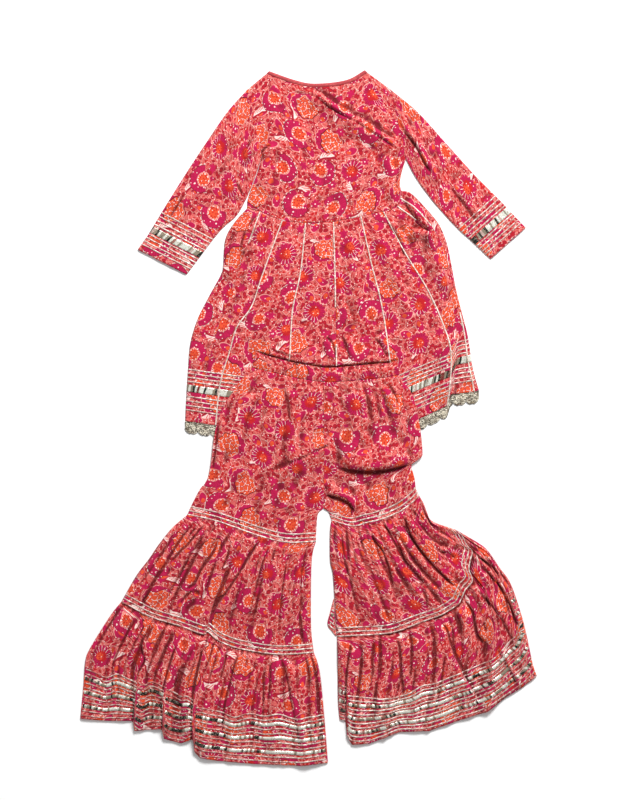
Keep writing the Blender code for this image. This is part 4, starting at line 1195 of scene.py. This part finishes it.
def ground(tree, x, y):
    """Salmon with fine stems and hatching, pale outlines and patches of berries."""
    sway = (noise(tree, x, y, 22, seed=1.0) - 0.5) * 34
    paint = Paint(tree, SALMON)
    patchy = noise(tree, x, y, 15, seed=2.0)
    hatch = ((x * 0.8 + y * 0.6 + sway) * (2 * np.pi / 4.6)).sine()
    paint.over(DUSTY_RED, hatch.math("SUBTRACT", 0.2, clamp=True) * patchy.below(0.58, 0.2))
    bent = x + sway * 0.2
    stems = scattered(tree, bent, y, 14, "DISTANCE_TO_EDGE")
    beside = scattered(tree, bent + 1.2, y + 1.0, 14, "DISTANCE_TO_EDGE")
    paint.over(DARK_RED, beside.below(0.4, 0.5) * 0.5)
    paint.over(PALE_PINK, stems.below(0.5, 0.5) * 0.9)
    curls = (distance(x + sway, y - sway) * (2 * np.pi / 9)).sine()
    paint.over(CRIMSON, curls.math("SUBTRACT", 0.6, clamp=True) * 3.2 * patchy.over(0.5))
    berries = scattered(tree, x, y, 10.5, "F1", disorder=0.6)
    patches = noise(tree, x, y, 34, seed=4.0)
    near = patches.over(0.50)
    paint.over(PALE_PINK, berries.below(4.9, 0.6) * near * 0.5)
    paint.over(CRIMSON, berries.below(4.4, 0.5) * near)
    paint.over(RED, berries.below(2.2) * near * 0.7)
    fine = scattered(tree, x + 31.0, y, 7.0, "F1")
    paint.over(RED, fine.below(2.5, 0.6) * patches.under(0.42))
    specks = scattered(tree, x + 7.0, y + 19.0, 8.0, "F1")
    paint.over(DARK_RED, specks.below(0.9, 0.6) * patchy.under(0.5) * 0.7)
    return paint


def leaves(tree, paint, x, y):
    """Slender white leaves with fine strokes, sparsely set."""
    lx, ly, first, _ = cells(tree, x + 23.0, y + 11.0, *LEAF_CELL, seed=8.0)
    bend = ly + lx * lx * 0.028
    there = first.over(0.30)
    strokes = ((lx * 0.7 - bend) * (2 * np.pi / 4.6)).sine()
    paint.over(CRIMSON, distance(lx * 0.30, bend + 3.0).below(5.4, 0.6) * there)
    paint.over(IVORY, distance(lx * 0.32, bend).below(4.6, 0.6) * there * 0.9)
    paint.over(SALMON, distance(lx * 0.32, bend - 1.0).below(3.6, 0.6) * there * strokes.below(0.0))


def buds(tree, paint, x, y):
    """Small tulip buds, half magenta and half orange, and little stars."""
    lx, ly, _, second = cells(tree, x + 9.0, y + 30.0, *BUD_CELL, seed=5.0)
    shape = distance(lx * 1.7, ly)
    bud = second.over(0.4)
    paint.over(PALE_PINK, distance(lx * 1.7 - 1.2, ly - 1.0).below(13.4) * bud * 0.8)
    paint.over(MAGENTA, shape.below(12.4) * bud)
    paint.over(ORANGE, shape.below(10.4) * bud * (ly + lx * lx * 0.25).below(0.0, 1.0))
    angle = ly.math("ARCTAN2", lx)
    star = distance(lx, ly) - (angle * 6.0).sine() * 2.0
    paint.over(MAGENTA, star.below(7.6) * second.under(0.4))
    paint.over(IVORY, distance(lx, ly).below(1.5, 0.6) * second.under(0.2))


class Motif:
    """Measures within one cell of the print, from which its large flower is drawn."""

    def __init__(self, tree, x, y):
        place_x, place_y, self.first, self.second = cells(tree, x, y, *FLOWER_CELL, seed=2.0)
        scale = self.second * 0.18 + 0.90
        self.x, self.y = place_x * scale, place_y * scale
        self.radius = distance(self.x, self.y)
        self.angle = self.y.math("ARCTAN2", self.x)
        self.balls = scattered(tree, self.x, self.y, 9.0, "DISTANCE_TO_EDGE")
        self.dots = scattered(tree, self.x, self.y, 5.2, "F1")
        self.sparse = scattered(tree, self.x + 50.0, self.y, 24.0, "F1")
        self.teeth = (self.angle * 19.0).sine()
        self.rays = (self.angle * 24.0 + self.radius * 0.12).sine().math("SUBTRACT", 0.3, clamp=True)
        self.one_side = (self.angle + self.first * 9.0).sine().over(-0.1)


def crescent(paint, motif, there):
    """A toothed crescent, open at its foot, round a core of dots."""
    arc = there * (motif.y - motif.second * 7.0).over(-13.0)
    fringe = motif.radius - motif.teeth * 1.2
    edge = motif.radius - motif.teeth * 0.7
    core = distance(motif.x * 1.1, motif.y + 4.0)
    beads = (core - 11.6).math("ABSOLUTE").below(0.8, 0.5) * there
    paint.over(IVORY, fringe.below(26.2) * arc * motif.one_side * motif.teeth.over(-0.3))
    paint.over(DARK_RED, edge.below(25.4) * arc)
    paint.over(MAGENTA, edge.below(24.4) * arc)
    paint.over(DARK_MAGENTA, motif.radius.below(23.4) * arc * motif.rays * 0.6)
    paint.over(PALE_PINK, core.below(14.2) * there)
    paint.over(ORANGE, core.below(13.2) * there)
    paint.over(RED, core.below(12.0) * there * motif.dots.below(1.4))
    paint.over(IVORY, beads * (motif.angle * 11.0).sine().below(-0.1, 0.5))
    paint.over(IVORY, motif.radius.below(22.0) * arc * motif.sparse.below(1.5, 0.5))
    paint.over(MAGENTA, distance(motif.x * 1.3, motif.y + 24.0).below(5.4, 0.6) * there)


def heap(paint, motif, there):
    """A heap of balls in a toothed cup."""
    body = distance(motif.x, motif.y * 1.1) + (motif.angle * 7.0).sine() * 1.8
    body = body + (motif.angle * 3.0).sine() * 2.2
    cup = distance(motif.x * 0.88, motif.y + 7.0) - motif.teeth * 0.9
    lower = there * motif.y.under(-6.0)
    gaps = motif.balls.below(0.45, 0.4) * motif.dots.over(1.8)
    paint.over(PALE_PINK, cup.below(24.6) * lower)
    paint.over(MAGENTA, cup.below(23.6) * lower)
    paint.over(DARK_MAGENTA, cup.below(22.5) * lower * motif.rays * 0.6)
    paint.over(DARK_RED, body.below(23.4) * there)
    paint.over(PALE_PINK, body.below(22.8) * there * motif.one_side)
    paint.over(ORANGE, body.below(21.8) * there)
    paint.over(CRIMSON, body.below(21.4) * there * motif.balls.below(0.75, 0.4) * 0.9)
    paint.over(IVORY, body.below(21.0) * there * gaps)
    paint.over(MAGENTA, distance(motif.x - 4.0, motif.y + 3.0).below(4.0, 0.6) * there * motif.one_side)


def fringed_dome(paint, motif, there):
    """A dome with a fringe of fine strokes and a dotted heart."""
    strokes = (motif.angle * 15.0).sine()
    heart = distance(motif.x - 3.0, motif.y - 2.0).below(8.0) * there
    paint.over(PALE_PINK, (motif.radius - strokes * 3.0).below(22.6) * there * strokes.over(0.1))
    paint.over(MAGENTA, (motif.radius - strokes * 2.4).below(21.0) * there)
    paint.over(DARK_MAGENTA, motif.radius.below(21.0) * there * motif.rays)
    paint.over(IVORY, motif.radius.below(19.5) * there * strokes.under(-0.95) * motif.one_side)
    paint.over(RED, (motif.radius - strokes * 1.2).below(12.0) * there)
    paint.over(ORANGE, heart)
    paint.over(RED, heart * motif.dots.below(1.6))


def flowers(tree, paint, x, y):
    """One large flower in each cell, of three kinds that a random number picks from."""
    motif = Motif(tree, x, y)
    crescent(paint, motif, motif.first.under(0.42))
    heap(paint, motif, motif.first.over(0.42) * motif.first.under(0.76))
    fringed_dome(paint, motif, motif.first.over(0.76))


def new_material(name, roughness, metallic=0.0):
    material = bpy.data.materials.new(name)
    material.use_nodes = True
    tree = material.node_tree
    shader = tree.nodes["Principled BSDF"]
    shader.inputs["Roughness"].default_value = roughness
    shader.inputs["Metallic"].default_value = metallic
    return material, tree, shader


def bumped(tree, shader, height, strength, reach):
    node = tree.nodes.new("ShaderNodeBump")
    node.inputs["Strength"].default_value = strength
    node.inputs["Distance"].default_value = reach * MM
    plug(tree, height, node.inputs["Height"])
    tree.links.new(node.outputs["Normal"], shader.inputs["Normal"])


def weave(x, y, pitch):
    return (x * (2 * np.pi / pitch)).sine() * (y * (2 * np.pi / pitch)).sine()


def printed_cotton():
    material, tree, shader = new_material("printed_cotton", roughness=0.86)
    shader.inputs["Sheen Weight"].default_value = 0.12
    shader.inputs["Specular IOR Level"].default_value = 0.25
    x, y = cloth_places(tree)
    wobble_x = x + (noise(tree, x, y, 17, seed=11.0) - 0.5) * 7
    wobble_y = y + (noise(tree, x, y, 17, seed=12.0) - 0.5) * 7
    paint = ground(tree, wobble_x, wobble_y)
    for motifs in (buds, leaves, flowers):
        motifs(tree, paint, wobble_x, wobble_y)
    paint.over(IVORY, scattered(tree, x + 3.0, y + 40.0, 13.0, "F1").below(0.95, 0.4))
    # Painted shade: the colour is darkened where the cloth dips below the cloth around it, in creases and
    # between folds
    dip = tree.nodes.new("ShaderNodeAttribute")
    dip.attribute_name = "dip"
    depth = Value(tree, dip.outputs["Fac"]) - DIP_START
    paint.over(FOLD_SHADE, depth.math("MULTIPLY", DIP_GAIN, clamp=True), "MULTIPLY")
    paint.colours(shader)
    creasing = noise(tree, x, y, 14, seed=6.0, detail=3.0) * 6 + weave(x, y, 0.7) * 0.06
    bumped(tree, shader, creasing, 0.5, 1.0)
    return material


def plain_binding():
    material, tree, shader = new_material("plain_binding", roughness=0.8)
    x, y = cloth_places(tree)
    paint = Paint(tree, BINDING_RED)
    paint.over(SALMON, noise(tree, x, y, 5, seed=3.0).below(0.42, 0.1) * 0.4)
    paint.colours(shader)
    bumped(tree, shader, weave(x, y, 0.8), 0.2, 0.1)
    return material


def painted_shade_near_start(x, shade_reach, most):
    """Painted shade: from -most at a lobe's first edge up to 0 at the distance from which its ribbon is no
    longer darkened.
    """
    return ((x / shade_reach).math("MINIMUM", 1.0) - 1.0) * most


def line_look(name, colour, red_patch_share, shade_reach=1.0):
    """Narrow ribbon whose woven threads catch the light in broken patches, as painted highlights, with dark
    red patches between them.
    """
    material, tree, shader = new_material(name, roughness=0.45, metallic=0.1)
    x, y = cloth_places(tree)
    # Near a lobe's first edge the patches are lowered, as painted shade
    patches = noise(tree, x, y * 1.6, 7, seed=2.0, detail=2.0) + painted_shade_near_start(x, shade_reach, 0.16)
    paint = Paint(tree, colour)
    paint.over(LACE, noise(tree, x, y, 3.2, seed=7.0).below(0.45, 0.12) * 0.7)
    # Dark red patches; near a lobe's first edge the painted shade adds more of them
    paint.over(DUSTY_RED, patches.below(red_patch_share, 0.06) * 0.8)
    # Painted highlights where the woven threads catch the light
    paint.over(GOTA_HIGHLIGHT, (patches * -1.0 + 1.0).below(0.40, 0.06))
    paint.colours(shader)
    bumped(tree, shader, patches * 3, 0.5, 0.8)
    return material


def mirror_look(name, dark_share, shade_share, shade_reach=1.0):
    """Flat metallic ribbon with painted reflections of its surroundings, in slanted bars of silver, grey and
    near black.
    """
    material, tree, shader = new_material(name, roughness=0.25, metallic=0.3)
    x, y = cloth_places(tree)
    slant = x + y * 0.15 + (noise(tree, x, y, 16, seed=3.0) - 0.5) * BAR_LENGTH
    first, edge, _ = random_numbers(tree, (slant / BAR_LENGTH).floor(), 0.0, 5.0)
    stretches = (noise(tree, x, 0.0, 52, seed=9.0) - 0.5) * 1.2
    # Near a lobe's first edge the tone is lowered, as painted shade
    tone = first + (stretches + painted_shade_near_start(x, shade_reach, 0.35))
    fine = noise(tree, x, y, 2.6, seed=7.0, detail=2.0)
    paint = Paint(tree, SILVER)
    # Painted reflection and shade: each bar is silver, grey or near black by its tone, and the fine grey
    # mottling below is painted shade too
    paint.over(SILVER_SHADE, tone.under(dark_share + shade_share))
    paint.over(SILVER_DARK_REFLECTION, tone.under(dark_share))
    paint.over(DUSTY_RED, edge.under(0.12) * 0.5)
    paint.over(SILVER_SHADE, fine.below(0.42, 0.08) * 0.7)
    paint.colours(shader)
    bumped(tree, shader, fine * 2 + tone, 0.5, 0.8)
    return material


def lace_look():
    material, tree, shader = new_material("metallic_lace", roughness=0.5, metallic=0.15)
    x, y = in_millimetres(tree, tree.nodes.new("ShaderNodeTexCoord").outputs["Object"])
    paint = Paint(tree, LACE_LIGHT)
    paint.over(LACE_DARK, noise(tree, x, y, 6, seed=1.0).below(0.50, 0.12) * 0.8)
    paint.colours(shader)
    return material


def net_look():
    """Close metallic net: pale threads between small dark openings, under a row of holes; openings and holes
    are not cut but painted dark, as painted shade.
    """
    material, tree, shader = new_material("lace_net", roughness=0.55, metallic=0.15)
    x, y = cloth_places(tree)
    openings = scattered(tree, x, y, 3.8, "F1")
    bright = noise(tree, x, y, 12, seed=6.0).below(0.56, 0.15)
    holes = distance((x / 3.6 - (x / 3.6).floor() - 0.5) * 3.6, y - 2.4)
    paint = Paint(tree, LACE)
    paint.over(LACE_BROWN, noise(tree, x, y, 10, seed=4.0).below(0.47, 0.08) * 0.6)
    paint.over(LACE_LIGHT, scattered(tree, x, y, 3.8, "DISTANCE_TO_EDGE").below(0.6, 0.4) * bright)
    # The openings and the holes are painted shade in the net's gaps
    paint.over(LACE_DARK, openings.below(1.4, 0.5) * noise(tree, x, y, 8, seed=2.0).below(0.58, 0.12))
    paint.over(LACE_DARK, holes.below(0.9, 0.4))
    paint.colours(shader)
    bumped(tree, shader, openings, 0.6, 0.6)
    return material


def floor_look():
    material, _, shader = new_material("pale_floor", roughness=0.95)
    shader.inputs["Base Color"].default_value = (FLOOR_TONE, FLOOR_TONE, FLOOR_TONE, 1)
    return material


def studio():
    """A pale floor, soft light from all round and a broad lamp above one side."""
    bpy.ops.mesh.primitive_plane_add(size=FLOOR_SIZE, location=(0, 0, FLOOR_HEIGHT))
    floor = bpy.context.object
    floor.name = "floor"
    floor.data.materials.append(floor_look())
    world = bpy.data.worlds.new("studio")
    world.use_nodes = True
    world.node_tree.nodes["Background"].inputs["Color"].default_value = (1, 1, 1, 1)
    world.node_tree.nodes["Background"].inputs["Strength"].default_value = WORLD_STRENGTH
    bpy.context.scene.world = world
    lamp = bpy.data.lights.new("window", "AREA")
    lamp.size = LAMP_SIZE
    lamp.energy = LAMP_POWER
    window = bpy.data.objects.new("window", lamp)
    window.location = LAMP_PLACE
    window.rotation_euler = Vector(LAMP_PLACE).to_track_quat("Z", "Y").to_euler()
    lens = bpy.data.cameras.new("camera")
    lens.lens = CAMERA_LENS
    lens.sensor_width = CAMERA_SENSOR
    camera = bpy.data.objects.new("camera", lens)
    camera.location = CAMERA_PLACE
    for thing in (window, camera):
        bpy.context.scene.collection.objects.link(thing)
    bpy.context.scene.camera = camera
    bpy.context.scene.view_settings.view_transform = "Standard"


def kurta(looks):
    points = skirt(looks)
    bodice(points[0, :, :2], looks)
    sleeve("left", LEFT_SHOULDER_TIP, LEFT_ARMPIT, LEFT_SLEEVE_OUTER, LEFT_SLEEVE_INNER, looks,
           turn=-0.55, shift=(210, 77))
    sleeve("right", RIGHT_SHOULDER_TIP, RIGHT_ARMPIT, RIGHT_SLEEVE_OUTER, RIGHT_SLEEVE_INNER, looks,
           turn=0.7, shift=(130, 310))


def sharara(looks):
    waistband(looks)
    waist = smooth(WAIST_SEAM, 20)
    middle = np.argmin(np.abs(waist[:, 0] - CENTRE_SEAM[0][0]))
    yoke("left", waist[: middle + 1], YOKE_LEFT_EDGE, LEFT_INSEAM, LEFT_YOKE_SEAM, looks, 51, (45, 205))
    yoke("right", waist[middle:], YOKE_RIGHT_EDGE, RIGHT_INSEAM, RIGHT_YOKE_SEAM, looks, 53, (175, 17))
    tier("middle_tier_left", LEFT_YOKE_SEAM, LEFT_TIER_SEAM, LEFT_MIDDLE_EDGE, LEFT_MIDDLE_INNER,
         LEFT_MIDDLE_PLEATS, LEFT_MIDDLE_FOLDS, looks, (80, 95))
    tier("middle_tier_right", RIGHT_YOKE_SEAM, RIGHT_TIER_SEAM, RIGHT_MIDDLE_INNER, RIGHT_MIDDLE_EDGE,
         RIGHT_MIDDLE_PLEATS, RIGHT_MIDDLE_FOLDS, looks, (230, 140))
    tier("hem_tier_left", LEFT_TIER_SEAM, LEFT_HEM, LEFT_HEM_EDGE, LEFT_HEM_INNER, LEFT_HEM_PLEATS,
         LEFT_HEM_FOLDS, looks, (20, 330), LEFT_HEM_LOBES)
    tier("hem_tier_right", RIGHT_TIER_SEAM, RIGHT_HEM, RIGHT_HEM_INNER, RIGHT_HEM_EDGE, RIGHT_HEM_PLEATS,
         RIGHT_HEM_FOLDS, looks, (300, 260), RIGHT_HEM_LOBES)
    turned_corner(looks)


looks = {
    "printed_cotton": printed_cotton(),
    "plain_binding": plain_binding(),
    "gota_line": line_look("gota_line", GOTA_PINK, red_patch_share=0.40),
    "leg_line": line_look("leg_line", GOTA_PINK, red_patch_share=0.38, shade_reach=LEG_SHADE_REACH),
    "piping": line_look("piping", PIPING_PALE, red_patch_share=0.26),
    "mirror_gota": mirror_look("mirror_gota", dark_share=0.36, shade_share=0.22),
    "leg_gota": mirror_look("leg_gota", dark_share=0.05, shade_share=0.30, shade_reach=LEG_SHADE_REACH),
    "metallic_lace": lace_look(),
    "lace_net": net_look(),
}
kurta(looks)
sharara(looks)
studio()
